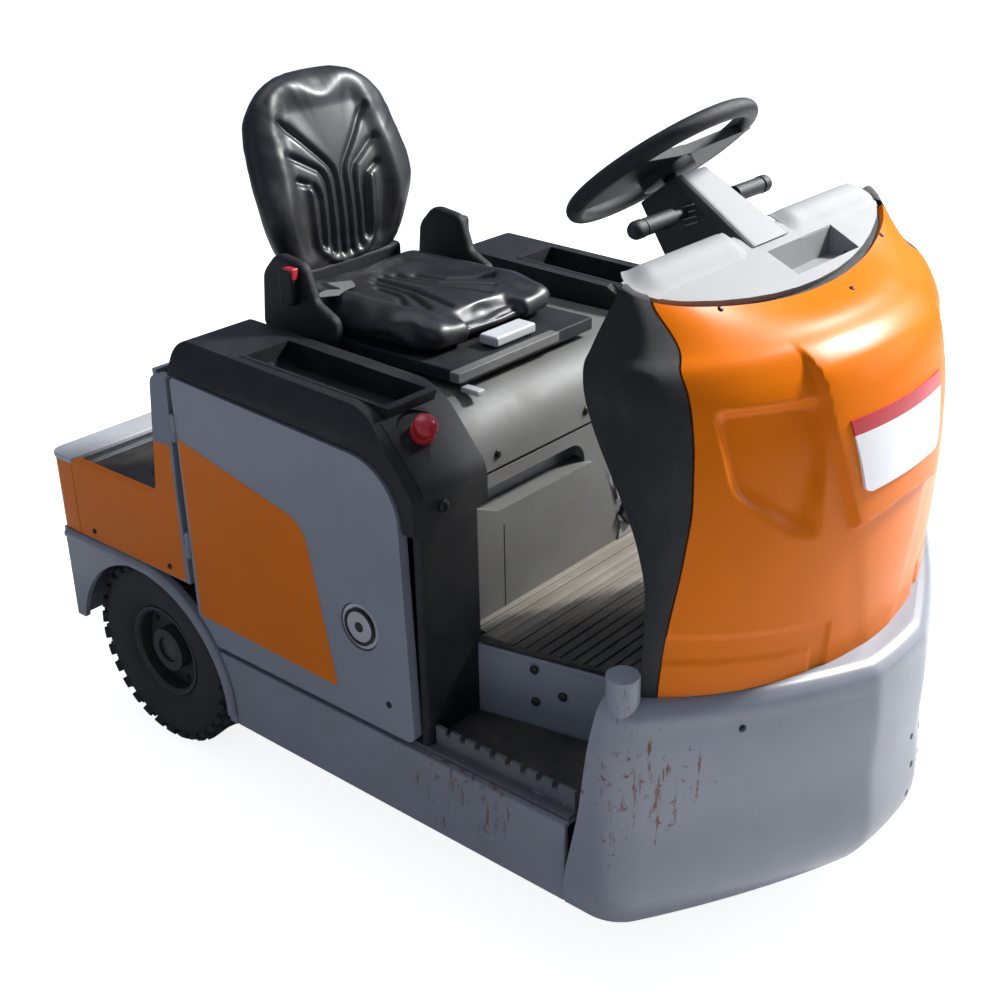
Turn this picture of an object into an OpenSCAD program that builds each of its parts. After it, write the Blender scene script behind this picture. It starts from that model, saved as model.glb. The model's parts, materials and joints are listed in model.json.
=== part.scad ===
// Electric tow tractor with three wheels, a driver's seat and a load deck.
// Millimetres. X runs forward and is measured from the rear axle, Y runs to the
// vehicle's left, Z runs up from the ground. placed() moves the whole to its centre.

/* [Body] */
// Width across the side skirts and doors
body_w = 970; // [950:2:985]
// Width across the front bumper
bumper_w = 996; // [990:2:1020]
// Rear axle to the back of the tail panel
tail_reach = 268; // [260:2:290]
// Rear axle to the back of the tow coupling
hitch_reach = 360; // [350:2:380]
// Ground to the lower edges of skirts and bumper
ground_gap = 155; // [140:1:160]
// Ground to the ledge along the skirts
ledge_z = 310; // [300:1:315]
// Ground to the deck floor
deck_z = 570; // [555:1:575]
// Ground to the top of the tail panel
tail_z = 598; // [594:1:604]
// Ground to the door tops at the rear
belt_z = 874; // [868:1:880]
// Rise of the side covers over the door tops
cover_rise = 66; // [60:1:75]
// Thickness of skirts and frame plates
plate = 12; // [10:1:14]
// Thickness of panels and doors
panel_t = 20; // [16:1:22]
// Gap between panels
panel_gap = 6; // [5:0.5:8]

/* [Wheels] */
// Distance between the rear axle and the steered wheel
wheelbase = 1120; // [1100:2:1140]
// Tyre diameter
tyre_d = 415; // [405:1:418]
// Tyre width
tyre_w = 108; // [100:1:110]
// Rim diameter at the bead
bead_d = 203; // [190:1:210]
// Centre distance of the rear tyres
track = 818; // [810:1:820]
// Rear stub diameter
stub_d = 56; // [50:1:60]
// Front axle pin diameter
axle_pin_d = 40; // [36:1:44]
// King pin diameter
king_d = 60; // [50:1:70]
// Gap between tyre and fork
fork_gap = 13; // [10:1:14]
// Thickness of the fork plates
fork_t = 16; // [14:1:18]
// Height of the steering bearing
bearing_h = 14; // [12:1:18]
// Radial clearance of pins and shafts
run_fit = 0.05; // [0.02:0.01:0.1]

/* [Cab] */
// Rear edge of the doors
door_x0 = 180; // [178:1:184]
// Front edge of the doors at the bottom
door_x1 = 763; // [755:1:766]
// Front face of the pillars
cab_x = 782; // [778:1:790]
// Rear face of the hood
hood_x0 = 200; // [198:1:206]
// Front face of the hood
hood_x1 = 742; // [736:1:748]
// Ground to the top of the hood
hood_z = 880; // [876:1:886]
// Radius of the hood's front bend
hood_r = 95; // [80:1:105]
// Thickness of the rubber mats
mat_t = 14; // [10:1:16]
// Length of the front bumper
nose_l = 344; // [336:2:380]
// Forward lean of the bumper's rear end over its height
bumper_lean = 72; // [60:1:80]
// Ground to the bumper's top over its rear corners
bumper_z = 585; // [580:1:590]
// Fall of the bumper's top towards the front in degrees
ledge_slope = 10; // [8:0.5:12]
// Fall of the dashboard and the cowl's top edge in degrees
cowl_slope = 25; // [22:1:28]

/* [Steering] */
// Steering wheel diameter
wheel_d = 352; // [340:2:380]
// Thickness of the steering wheel rim
wheel_rim_d = 30; // [26:1:34]
// Tilt of the steering wheel from level
wheel_tilt = 38; // [34:1:42]
// Rear axle to the middle of the steering wheel
wheel_x = 916; // [905:1:925]
// Ground to the middle of the steering wheel
wheel_z = 1273; // [1265:1:1285]
// Steering shaft diameter
shaft_d = 24; // [20:1:28]

/* [Seat] */
// Width of the seat
seat_w = 400; // [380:2:420]
// Room beside the seat out to the side covers
seat_room = 92; // [90:1:96]
// Offset of the seat towards the vehicle's right
seat_shift = 40; // [30:1:46]
// Ground to the top of the cushion
cushion_z = 985; // [975:1:995]
// Ground to the top of the backrest
back_z = 1358; // [1340:1:1380]

/* [Coupling] */
// Tow pin diameter
pin_d = 25; // [22:1:28]
// Clear height between coupling plates
jaw_h = 40; // [36:1:46]
// Thickness of the coupling plates
jaw_t = 12; // [10:1:14]
// Width of the coupling
jaw_w = 110; // [90:1:130]

/* [Hidden] */
$fn = 64;

half_w = body_w / 2;
hood_w2 = seat_w / 2 + seat_room;
skirt_in = half_w - plate;
seam = 0.4;
axle_z = tyre_d / 2;
arch_r = axle_z + 32;
arch_z = axle_z - 32;
arch_x = 5;
arch_band = 22;
band_r = arch_r + arch_band;
arch_top = arch_z + band_r;
lip_r = 11;
apron_x = -tail_reach + plate;
tray_z = ground_gap + plate;
crown_z = tyre_d + fork_gap;
floor_z = crown_z + fork_t + bearing_h;
mat_z = floor_z + 10;
cover_z = belt_z + cover_rise;
box_x0 = 240;
wall_x = hood_x1 - 36;
calf_x = hood_x1 + 10;
calf_z = 680;
pillar_z = 732;
pillar_y = hood_w2 + 30;
step_t = 8;
step_x0 = 790;
riser_y0 = half_w - 150;
riser_y1 = half_w - 213;
seat_z = hood_z + 38;
hinge_r = 5;
hinge_pin_r = 3;
door_axis_x = door_x0 - 7;
hood_axis = [hood_x0 - 16, hood_z + 2];
hood_pin_r = 5;
bumper_x0 = wheelbase - 24;
nose_reach = bumper_x0 + nose_l;
centre_x = (nose_reach - hitch_reach) / 2;
bumper_bow = [0.336 * bumper_w, 15.6, 33.6];
cowl_foot_x = nose_reach - 62;
cowl_foot_w = bumper_w / 2 - 42;
cowl_bow = [1.535 * cowl_foot_w, 24, 42];
cowl_x = nose_reach - 240;
cowl_top_x = nose_reach - 205;
cowl_top_w = bumper_w / 2 - 126;
shoulder_z = 1100;
leg_x = cowl_x - 5;

// Points of an arc about c from angle a to angle b.
function arc(c, r, a, b, n) = [for (i = [0:n]) c + r * [cos(a + (b - a) * i / n), sin(a + (b - a) * i / n)]];

function unit(v) = v / norm(v);

// Arc that rounds the corner p between its neighbours a and b.
function corner(a, p, b, r, n) =
    let (u = unit(a - p), w = unit(b - p))
    let (half = acos(u * w) / 2, c = p + unit(u + w) * r / sin(half))
    let (s = p + u * r / tan(half) - c, e = p + w * r / tan(half) - c)
    let (a0 = atan2(s[1], s[0]), turn = atan2(s[0] * e[1] - s[1] * e[0], s * e))
    arc(c, r, a0, a0 + turn, n);

// Outline from corners [x, y, radius]; a corner without a radius stays sharp.
function rounded(p, n = 8) = [for (i = [0:len(p) - 1])
    let (q = [p[i][0], p[i][1]], a = p[(i + len(p) - 1) % len(p)], b = p[(i + 1) % len(p)])
    each is_undef(p[i][2]) || p[i][2] <= 0 ? [q]
        : corner([a[0], a[1]], q, [b[0], b[1]], p[i][2], n)];

// Left half of a bowed front in plan: nose arc, long flank arc and corner arc.
// form holds the nose radius and the turns at the ends of nose and flank.
function half_bow(apex, half, corner_r, form) =
    let (nose_r = form[0], a1 = form[1], a2 = form[2])
    let (flank_r = (half - nose_r * sin(a1) - corner_r * (1 - sin(a2))) / (sin(a2) - sin(a1)))
    let (nose_c = [apex - nose_r, 0], flank_c = nose_c + (nose_r - flank_r) * [cos(a1), sin(a1)])
    let (corner_c = flank_c + (flank_r - corner_r) * [cos(a2), sin(a2)])
    concat(arc(nose_c, nose_r, 0, a1, 5), arc(flank_c, flank_r, a1 + 2, a2, 8),
        arc(corner_c, corner_r, a2 + 8, 90, 6));

function bow(apex, half, corner_r, back, form) =
    let (h = half_bow(apex, half, corner_r, form))
    concat([[back, -half]], [for (i = [len(h) - 1:-1:1]) [h[i][0], -h[i][1]]], h, [[back, half]]);

module placed() {
    translate([-centre_x, 0, 0]) children();
}

// Extrudes an outline in X and Z between two Y positions.
module xz(y0, y1) {
    translate([0, y1, 0]) rotate([90, 0, 0]) linear_extrude(y1 - y0) children();
}

// Extrudes an outline in Y and Z between two X positions.
module yz(x0, x1) {
    translate([x0, 0, 0]) rotate([90, 0, 90]) linear_extrude(x1 - x0) children();
}

module xy(z0, z1) {
    translate([0, 0, z0]) linear_extrude(z1 - z0) children();
}

// Box between two corners.
module box(a, b) {
    translate(a) cube(b - a);
}

module both_sides() {
    children();
    mirror([0, 1, 0]) children();
}

// Cylinder along Y.
module y_rod(p, r, y0, y1) {
    translate([p[0], y1, p[1]]) rotate([90, 0, 0]) cylinder(r = r, h = y1 - y0);
}

module arch_disc(r, y0, y1) {
    y_rod([arch_x, arch_z], r, y0, y1);
}

module riser_plan(inset) {
    polygon([[cab_x + 1, -riser_y0 + inset], [step_x0, -riser_y0 + inset],
        [bumper_x0, -riser_y1 + inset], [bumper_x0, -riser_y1 + inset + plate],
        [step_x0, -riser_y0 + inset + plate], [cab_x + 1, -riser_y0 + inset + plate]]);
}

module chassis_frame() {
    color("slategray") {
        box([box_x0, -skirt_in, ground_gap], [step_x0, skirt_in, tray_z]);
        box([box_x0 - plate, -half_w + panel_t + 12, ground_gap], [box_x0, half_w - panel_t - 12, deck_z - 80]);
        box([wall_x - plate, -pillar_y + plate, tray_z - 1], [wall_x, pillar_y - plate, 750]);
        both_sides() {
            box([-tail_reach + 1.9 * plate, -262, 300], [box_x0 - 1, -232, 390]);
            box([70, -262, 389], [110, -232, deck_z]);
            xy(tray_z - 1, floor_z) riser_plan(0);
            xy(ground_gap, tray_z) polygon([[step_x0 - 1, -skirt_in], [bumper_x0, -skirt_in],
                [bumper_x0, -riser_y1 + plate], [step_x0 - 1, -riser_y0 + plate]]);
        }
        difference() {
            box([apron_x, -half_w, axle_z + 16], [apron_x + plate, half_w, deck_z]);
            both_sides() box([apron_x - 1, -half_w - 1, arch_top], [apron_x + plate + 1, -skirt_in + 24, deck_z + 1]);
        }
    }
}

module side_skirts() {
    color("lightslategray") both_sides() {
        difference() {
            union() {
                xz(-half_w, -skirt_in) polygon(rounded([[box_x0 - 40, ground_gap],
                    [bumper_x0 - 1, ground_gap], [bumper_x0 - 1, ledge_z], [box_x0 - 40, ledge_z]]));
                box([box_x0, -skirt_in - 1, ledge_z - step_t], [bumper_x0 - 1, -skirt_in + 32, ledge_z]);
            }
            arch_disc(band_r + 1, -half_w - 1, -skirt_in + 40);
        }
    }
}

module rear_fenders() {
    color("lightslategray") both_sides() {
        difference() {
            union() {
                intersection() {
                    arch_disc(band_r, -half_w, -skirt_in);
                    box([arch_x, -half_w, ground_gap], [arch_x + band_r, -skirt_in, arch_top]);
                }
                box([apron_x + plate, -half_w, axle_z + 16], [arch_x + 1, -skirt_in, arch_top]);
                y_lip();
            }
            arch_disc(arch_r, -half_w - lip_r - 1, -skirt_in + 1);
        }
    }
}

// Rounded rub lip along the fender band.
module y_lip() {
    translate([arch_x, -half_w, arch_z]) rotate([90, 0, 0]) rotate_extrude(angle = 90)
        translate([band_r - lip_r, 0]) circle(r = lip_r, $fn = 24);
    translate([apron_x + plate, -half_w, arch_top - lip_r]) rotate([0, 90, 0])
        cylinder(r = lip_r, h = arch_x - apron_x - plate, $fn = 24);
}

module tail_plan(out, t) {
    difference() {
        polygon(rounded([[-tail_reach - out, -half_w - out, 30], [-195, -half_w - out],
            [-195, half_w + out], [-tail_reach - out, half_w + out, 30]]));
        polygon(rounded([[-tail_reach + t, -half_w + t, 30 - t], [-190, -half_w + t],
            [-190, half_w - t], [-tail_reach + t, half_w - t, 30 - t]]));
    }
}

module tail_panel() {
    color("darkorange") xy(arch_top + 1, tail_z) tail_plan(0, plate - seam);
}

module deck_rim() {
    color("lightgray") {
        xy(tail_z, tail_z + 12) difference() {
            polygon(rounded([[-tail_reach - 3, -half_w - 2, 32], [-194, -half_w - 2],
                [-194, half_w + 2], [-tail_reach - 3, half_w + 2, 32]]));
            square([388, 2 * half_w - 2 * panel_t - 6], center = true);
        }
        box([-222, -half_w + panel_t + 20, deck_z + 6], [-210, half_w - panel_t - 20, tail_z + 1]);
    }
}

module rear_deck() {
    color("dimgray") {
        box([apron_x + 4, -half_w + panel_t + 1, deck_z], [100, half_w - panel_t - 1, deck_z + 6]);
    }
}

module rear_side_panels() {
    color("darkorange") both_sides() {
        difference() {
            xz(-half_w, -half_w + panel_t) polygon(rounded([[-193, arch_top + 1], [door_x0 - 15, arch_top + 1],
                [door_x0 - 15, arch_top + 30], [door_x0 - 21, 626, 60], [door_x0 - 14, belt_z - 4, 6],
                [118, belt_z - 4, 26], [90, tail_z + 10, 34], [-193, tail_z + 10, 10]]));
        }
        door_knuckles(0);
    }
}

// Hinge halves of a right door: 0 is the fixed half with its pin, 1 the door's sleeve.
module door_knuckles(side) {
    for (z = [500, 745]) translate([door_axis_x, -half_w, z]) {
        if (side == 0) {
            cylinder(r = hinge_r, h = 20, $fn = 32);
            cylinder(r = hinge_pin_r, h = 56, $fn = 32);
            translate([-14, 0, 0]) cube([14, 4, 20]);
        } else {
            difference() {
                union() {
                    translate([0, 0, 20 + seam]) cylinder(r = hinge_r, h = 34, $fn = 32);
                    translate([0, 0, 20 + seam]) cube([10, 4, 34]);
                }
                cylinder(r = hinge_pin_r + run_fit, h = 60, $fn = 32);
            }
        }
    }
}

module bulkhead() {
    color("slategray") {
        box([100, -half_w + panel_t + seam, deck_z], [112, half_w - panel_t - seam, belt_z - 6]);
        box([100, -hood_w2, belt_z - 18], [hood_axis[0] - 12, hood_w2, belt_z - 6]);
        both_sides() hood_knuckle(0);
    }
}

// Hinge halves of the hood: 0 is fixed to the bulkhead and has the pin, 1 belongs to the hood.
module hood_knuckle(side) {
    if (side == 0) {
        y_rod(hood_axis, 9, -230, -200);
        y_rod(hood_axis, hood_pin_r, -230, -150);
        xz(-230, -200) polygon([[hood_axis[0] - 40, belt_z - 12], [hood_axis[0] - 12, belt_z - 12],
            [hood_axis[0] + 5, hood_axis[1] - 4], [hood_axis[0] - 5, hood_axis[1] + 7]]);
    } else {
        difference() {
            union() {
                y_rod(hood_axis, 9, -199, -155);
                box([hood_axis[0], -199, hood_axis[1] - 9], [hood_x0 + 2, -155, hood_axis[1] - 2]);
            }
            y_rod(hood_axis, hood_pin_r + run_fit, -231, -149);
        }
    }
}

// Outline of the right door in X and Z, grown by g.
module door_outline(g) {
    difference() {
        polygon(rounded([[door_x0 - g, ledge_z + 12 - g], [door_x1 + g, ledge_z + 12 - g, 18 + g],
            [door_x1 - 17 + g, belt_z - 32 + g, 110 + g], [door_x0 - 2 - g, belt_z + g, 10 + g]]));
        translate([arch_x, arch_z]) circle(r = band_r + panel_gap - g);
    }
}

module cover_side(wall) {
    polygon(rounded([[door_x0 - 12 + wall, pillar_z - 40], [door_x0 - 12 + wall, cover_z - wall, 34],
        [cab_x - 105, cover_z - 16 - wall, 120], [cab_x - wall, 800, 60], [cab_x - wall, pillar_z - 40]]));
}

module cover_section(wall) {
    polygon([[-half_w + 4 + wall, pillar_z - 60], [-half_w + 4 + wall, belt_z + 6],
        [-half_w + 40 + wall, cover_z + 20 - wall], [-hood_w2 - 5 - wall, cover_z + 20 - wall],
        [-hood_w2 - 5 - wall, pillar_z - 60]]);
}

// Right side cover with its tray; the dish for the stop button is cut on request.
module side_cover(dish) {
    color("#202226") difference() {
        union() {
            difference() {
                intersection() {
                    xz(-half_w, -hood_w2) cover_side(0);
                    yz(100, cab_x + 20) cover_section(0);
                }
                intersection() {
                    xz(-half_w, -hood_w2) cover_side(8);
                    yz(100, cab_x + 20) cover_section(9);
                }
            }
            xz(-half_w + 46, -pillar_y) polygon(rounded([[330, cover_z - 60, 30], [cab_x - 105, cover_z - 64, 30],
                [cab_x - 85, cover_z - 16], [330, cover_z - 4]]));
            if (dish) intersection() {
                dish_at() translate([0, 0, -70]) cylinder(r = 70, h = 80);
                xz(-half_w, -hood_w2) cover_side(0);
                yz(100, cab_x + 20) cover_section(0);
            }
        }
        xz(-half_w + 54, -pillar_y - 8) polygon(rounded([[338, cover_z - 52, 24], [cab_x - 113, cover_z - 56, 24],
            [cab_x - 93, cover_z + 20], [338, cover_z + 20]]));
        if (dish) dish_at() translate([0, 0, -28]) cylinder(r1 = 42, r2 = 58, h = 60);
        xz(-half_w - 1, -skirt_in + 40) door_outline(panel_gap);
        box([0, -half_w, 0], [door_x0 + 2, 0, belt_z]);
        box([0, -half_w, 0], [cab_x + 1, 0, pillar_z]);
        box([0, -half_w + 40, 0], [cab_x - 23, 0, belt_z - 6]);
    }
}

// Frame of the stop button's dish on the front slope of the right cover.
module dish_at() {
    translate([cab_x - 48, -half_w + 92, cover_z - 50]) rotate([0, 38, 0]) rotate([14, 0, 0]) children();
}

module stop_button() {
    color("firebrick") dish_at() {
        translate([0, 0, -28]) cylinder(r = 22, h = 14);
        translate([0, 0, -14]) cylinder(r = 14, h = 10);
        translate([0, 0, -4]) intersection() {
            cylinder(r = 21, h = 18);
            translate([0, 0, -12]) sphere(r = 30);
        }
    }
}

module pillar_panels() {
    rear = door_x1 + panel_gap;
    color("#26282c") both_sides() xy(ledge_z + step_t, pillar_z - seam) polygon(rounded([[rear, -half_w + 14],
        [cab_x, -half_w + 14, 12], [cab_x, -pillar_y, 6], [wall_x, -pillar_y], [wall_x, -pillar_y - 12],
        [rear, -pillar_y - 12]]));
}

module calf_panel() {
    near = -pillar_y + 3;
    color("#4a4c4c") {
        difference() {
            box([hood_x1 - 14, near, mat_z], [hood_x1 - 2, 108, 750]);
            yz(hood_x1 - 15, hood_x1) polygon(rounded([[near + 22, calf_z], [28, calf_z], [28, calf_z + 44, 40],
                [near + 22, calf_z + 44]]));
        }
        box([wall_x, near, calf_z - 8], [hood_x1 - 2, 40, calf_z]);
        yz(hood_x1 - 3, calf_x) polygon(rounded([[near, mat_z], [136, mat_z], [112, calf_z - 90, 50],
            [46, calf_z, 44], [near + 80, calf_z], [near, calf_z + 37]]));
    }
}

module floor_plan(inset) {
    side = [[wall_x, pillar_y - 3 - inset], [cab_x + 1 + inset, pillar_y - 3 - inset],
        [cab_x + 1 + inset, riser_y0 - inset], [step_x0, riser_y0 - inset], [bumper_x0, riser_y1 - inset],
        [leg_x + 30 - inset, riser_y1 - inset]];
    polygon(concat(side, [for (i = [len(side) - 1:-1:0]) [side[i][0], -side[i][1]]]));
}

module floor_plate() {
    color("slategray") difference() {
        union() {
            xy(floor_z, mat_z) floor_plan(0);
            translate([wheelbase, 0, crown_z + fork_t + seam]) cylinder(r = 95, h = bearing_h);
        }
        translate([wheelbase, 0, crown_z]) cylinder(d = king_d + 2 * run_fit, h = fork_t + bearing_h);
    }
}

module rubber_mats() {
    color("#1c1c1e") {
        difference() {
            xy(mat_z, mat_z + mat_t) difference() {
                floor_plan(4);
                translate([0, -pillar_y]) square([calf_x, 2 * pillar_y]);
            }
            for (x = [calf_x + 12:22:leg_x + 10]) box([x, -320, mat_z + mat_t - 3], [x + 8, 320, mat_z + mat_t + 1]);
        }
        both_sides() xy(ledge_z + step_t, ledge_z + step_t + mat_t) polygon([[cab_x + 1, -half_w + 44],
            [bumper_x0 - 4, -half_w + 44], [bumper_x0 - 4, -riser_y1 - 8], [step_x0 + 4, -riser_y0 - 4],
            [cab_x + 1, -riser_y0 - 4]]);
        box([-192, -half_w + panel_t + 3, deck_z + 6], [98, half_w - panel_t - 3, deck_z + 12]);
    }
}

module both_sides_2d() {
    children();
    mirror([0, 1]) children();
}

module entry_steps() {
    color("#55585c") both_sides() {
        xy(ledge_z, ledge_z + step_t) polygon([[cab_x - 60, -half_w + 14], [bumper_x0 - 2, -half_w + 14],
            [bumper_x0 - 2, -riser_y1 - 1], [step_x0, -riser_y0 - 1], [cab_x - 60, -riser_y0 - 1]]);
        difference() {
            box([cab_x + 2, -half_w + 32, ledge_z + 1], [bumper_x0 - 4, -half_w + 40, ledge_z + 46]);
            for (x = [cab_x + 24:34:bumper_x0 - 30])
                box([x, -half_w + 20, ledge_z + 34], [x + 12, -half_w + 60, ledge_z + 50]);
        }
    }
}

// Frame of the sloping plane along the bumper's top.
module ledge_at() {
    translate([cowl_x, 0, bumper_z]) rotate([0, ledge_slope, 0]) translate([-cowl_x, 0, 0]) children();
}

module bumper_slice(z, apex, half, corner_r) {
    translate([0, 0, z]) linear_extrude(0.1) polygon(bow(apex, half, corner_r, bumper_x0, bumper_bow));
}

// Outer form of the bumper, shrunk by t all round and starting at z0.
module bumper_form(t, z0) {
    hull() {
        bumper_slice(z0, nose_reach - 32 - t, bumper_w / 2 - 14 - t, 80 - t);
        bumper_slice(z0 + 17, nose_reach - 20 - t, bumper_w / 2 - 6 - t, 80 - t);
        ledge_at() {
            bumper_slice(-46, nose_reach + 4 - t, bumper_w / 2 - t, 80 - t);
            bumper_slice(-14, nose_reach - 6 - t, bumper_w / 2 - 8 - t, 80 - t);
            bumper_slice(-0.1, nose_reach - 34 - t, bumper_w / 2 - 34 - t, 70 - t);
        }
    }
}

// Region in front of the bumper's leaning rear end.
module bumper_slant() {
    top = bumper_z + 60;
    polygon([[bumper_x0, ground_gap - 30], [nose_reach + 50, ground_gap - 30], [nose_reach + 50, top],
        [bumper_x0 + bumper_lean * (top - ground_gap) / (bumper_z - ground_gap), top], [bumper_x0, ground_gap]]);
}

// Right post at the bumper's rear corner, grown by g.
module bumper_post(g) {
    translate([bumper_x0 + bumper_lean + 22, -bumper_w / 2 + 36, bumper_z - 60]) cylinder(r = 27 + g, h = 102);
}

module front_bumper() {
    color("lightslategray") {
        difference() {
            intersection() {
                bumper_form(0, ground_gap);
                xz(-bumper_w, bumper_w) bumper_slant();
            }
            difference() {
                bumper_form(14, ground_gap - 20);
                ledge_at() box([900, -bumper_w, -14], [nose_reach + 50, bumper_w, 1]);
            }
            ledge_at() translate([0, 0, -40]) linear_extrude(60)
                polygon(bow(cowl_foot_x - 26, cowl_foot_w - 26, 60, bumper_x0 - 40, cowl_bow));
        }
        both_sides() {
            xz(-bumper_w / 2 + 9, -riser_y1) polygon([[bumper_x0, ground_gap + 20], [bumper_x0 + 10, ground_gap + 20],
                [bumper_x0 + 10 + bumper_lean * 0.92, bumper_z - 20],
                [bumper_x0 + bumper_lean * 0.92, bumper_z - 20]]);
            bumper_post(0);
        }
    }
}

module cowl_slice(z, apex, half, corner_r) {
    translate([0, 0, z]) linear_extrude(0.1) polygon(bow(apex, half, corner_r, cowl_x - 160, cowl_bow));
}

// Outer form of the cowl, shrunk by t at front and sides, lowered by d at the top and by f at the foot.
module cowl_form(t, d, f) {
    hull() {
        ledge_at() cowl_slice(-f, cowl_foot_x - t, cowl_foot_w - t, 80 - t);
        cowl_slice(850, cowl_foot_x + 6 - t, cowl_foot_w - 16 - t, 80 - t);
        cowl_slice(shoulder_z - 40 - d, cowl_foot_x - 34 - t, cowl_foot_w - 32 - t, 76 - t);
        cowl_slice(shoulder_z - d, cowl_foot_x - 78 - t, cowl_foot_w - 52 - t, 70 - t);
        cowl_top_at() cowl_slice(-d, cowl_top_x - t, cowl_top_w - t, 60 - t);
    }
}

// Frame of the sloping plane along the cowl's top edge.
module cowl_top_at() {
    translate([cowl_x, 0, shoulder_z + 42]) rotate([0, cowl_slope, 0]) translate([-cowl_x, 0, 0]) children();
}

// Column of space over the dashboard, inset by g from the cowl's top edge.
module dash_zone(g) {
    cowl_top_at() translate([0, 0, -110]) linear_extrude(260)
        polygon(bow(cowl_top_x - g, cowl_top_w - g, 60, cowl_x - 300, cowl_bow));
}

// Region behind the joint of the painted cowl and its black sides, shifted forward by g.
module side_zone(g) {
    x = cowl_x + g;
    polygon(rounded([[x - 200, 500], [x + 24, 500], [x + 62, 850, 240], [x + 52, shoulder_z - 50, 90],
        [x - 24, shoulder_z + 60], [x - 70, shoulder_z + 200], [x - 200, shoulder_z + 200]]));
}

// Region in front of the leg cutout at the rear of the cowl.
module leg_zone() {
    polygon(rounded([[cowl_x + 4, 500], [cowl_x + 22, 790, 90], [cowl_x - 94, 985, 160],
        [cowl_x - 134, shoulder_z - 15, 50], [cowl_x - 94, shoulder_z + 90, 30],
        [nose_reach, shoulder_z + 200], [nose_reach, 500]]));
}

module cowl_front() {
    color("orange") difference() {
        cowl_form(0, 0, 0);
        cowl_form(12, 12, 20);
        xz(-bumper_w, bumper_w) side_zone(1);
        dash_zone(8);
    }
}

module cowl_sides() {
    color("#202226") difference() {
        intersection() {
            cowl_form(0, 0, 0);
            xz(-bumper_w, bumper_w) intersection() {
                side_zone(0);
                leg_zone();
            }
        }
        cowl_form(34, 34, 20);
        box([cowl_x - 200, -0.66 * cowl_foot_w, 400], [nose_reach, 0.66 * cowl_foot_w, shoulder_z + 200]);
        both_sides() bumper_post(1);
        dash_zone(8);
    }
}

// Outer form of the dashboard, shrunk by t and lowered by d.
module dash_form(t, d) {
    hull() {
        cowl_top_at() translate([0, 0, -14 - d]) linear_extrude(14)
            polygon(bow(cowl_top_x - 14 - t, cowl_top_w - 19 - t, 60, cowl_x - 90, cowl_bow));
        y_rod([cowl_x - 96 + t, shoulder_z + 80 - d], 8, -cowl_top_w + 76 + t, cowl_top_w - 76 - t);
        y_rod([cowl_x - 112 + t, shoulder_z + 28 - d], 8, -cowl_top_w + 32 + t, cowl_top_w - 32 - t);
    }
}

module dash_bin() {
    hull() {
        box([cowl_x - 54, -0.075 * cowl_top_w, shoulder_z + 24], [cowl_x - 2, 0.43 * cowl_top_w, shoulder_z + 25]);
        box([cowl_x - 62, -0.11 * cowl_top_w, shoulder_z + 130], [cowl_x + 4, 0.46 * cowl_top_w, shoulder_z + 131]);
    }
}

module dashboard() {
    color("dimgray") intersection() {
        difference() {
            union() {
                difference() {
                    dash_form(0, 0);
                    dash_form(10, 10);
                }
                intersection() {
                    dash_form(0, 0);
                    box([cowl_x - 70, -0.14 * cowl_top_w, shoulder_z],
                        [cowl_x + 60, 0.51 * cowl_top_w, shoulder_z + 140]);
                }
            }
            dash_bin();
        }
        dash_zone(10);
    }
}

module leg_shield() {
    foot = riser_y1 - 4;
    low = cowl_foot_w - 86;
    color("#2a2c30") yz(leg_x, leg_x + 10) polygon([[-foot, mat_z + mat_t], [foot, mat_z + mat_t], [foot, 600],
        [low, 600], [low - 5, 850], [low - 60, shoulder_z - 50], [low - 120, shoulder_z + 19],
        [120 - low, shoulder_z + 19], [60 - low, shoulder_z - 50], [5 - low, 850], [-low, 600], [-foot, 600]]);
}

module on_column() {
    translate([wheel_x, 0, wheel_z]) rotate([0, -wheel_tilt, 0]) children();
}

module column_section(s, back, front, w) {
    translate([0, 0, s]) linear_extrude(0.1) polygon(rounded([[-back, -w / 2, 14], [front, -w / 2, 22],
        [front, w / 2, 22], [-back, w / 2, 14]], 5));
}

module steering_column() {
    color("#3a3c40") difference() {
        union() {
            hull() {
                on_column() column_section(-42, 46, 48, 98);
                on_column() column_section(-205, 50, 112, 128);
            }
            hull() {
                on_column() column_section(-190, 40, 80, 90);
                box([leg_x - 80, -60, 1030], [leg_x, 60, 1050]);
            }
            both_sides() on_column() translate([30, 0, -98]) rotate([90, 0, 0]) {
                cylinder(r = 9, h = 180);
                translate([0, 0, 92]) cylinder(r = 14, h = 76);
                translate([0, 0, 172]) cylinder(r = 15, h = 12);
                translate([0, 0, 184]) sphere(r = 15);
            }
        }
        dash_form(0, 0);
        on_column() translate([0, 0, -120]) cylinder(d = shaft_d + 2 * run_fit, h = 100);
    }
}

module pedals() {
    color("#2a2a2c") for (y = [-150, 40]) translate([leg_x - 130, y, mat_z + mat_t]) {
        cube([24, 60, 14]);
        translate([8, 0, 4]) rotate([0, -32, 0]) cube([110, y < 0 ? 70 : 90, 8]);
    }
}

module battery() {
    color("#39424a") box([box_x0 + 14, -hood_w2 + 10, tray_z], [wall_x - plate - 8, hood_w2 - 10, 735]);
}

module rear_axle() {
    color("#2c2e30") {
        y_rod([0, axle_z], 55, -track / 2 + 78, track / 2 - 78);
        y_rod([0, axle_z], stub_d / 2, -track / 2 - 30, track / 2 + 30);
        box([-95, -120, axle_z - 90], [110, 120, axle_z + 70]);
        both_sides() box([-50, -262, axle_z], [50, -232, 300]);
    }
}

module tyre() {
    rotate([-90, 0, 0]) rotate_extrude() polygon(rounded([[bead_d / 2, -tyre_w * 0.37],
        [bead_d * 0.62, -tyre_w * 0.47, 18], [tyre_d * 0.40, -tyre_w / 2, 24], [tyre_d / 2, -tyre_w * 0.42, 16],
        [tyre_d / 2, tyre_w * 0.42, 16], [tyre_d * 0.40, tyre_w / 2, 24], [bead_d * 0.62, tyre_w * 0.47, 18],
        [bead_d / 2, tyre_w * 0.37]]));
}

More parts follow.
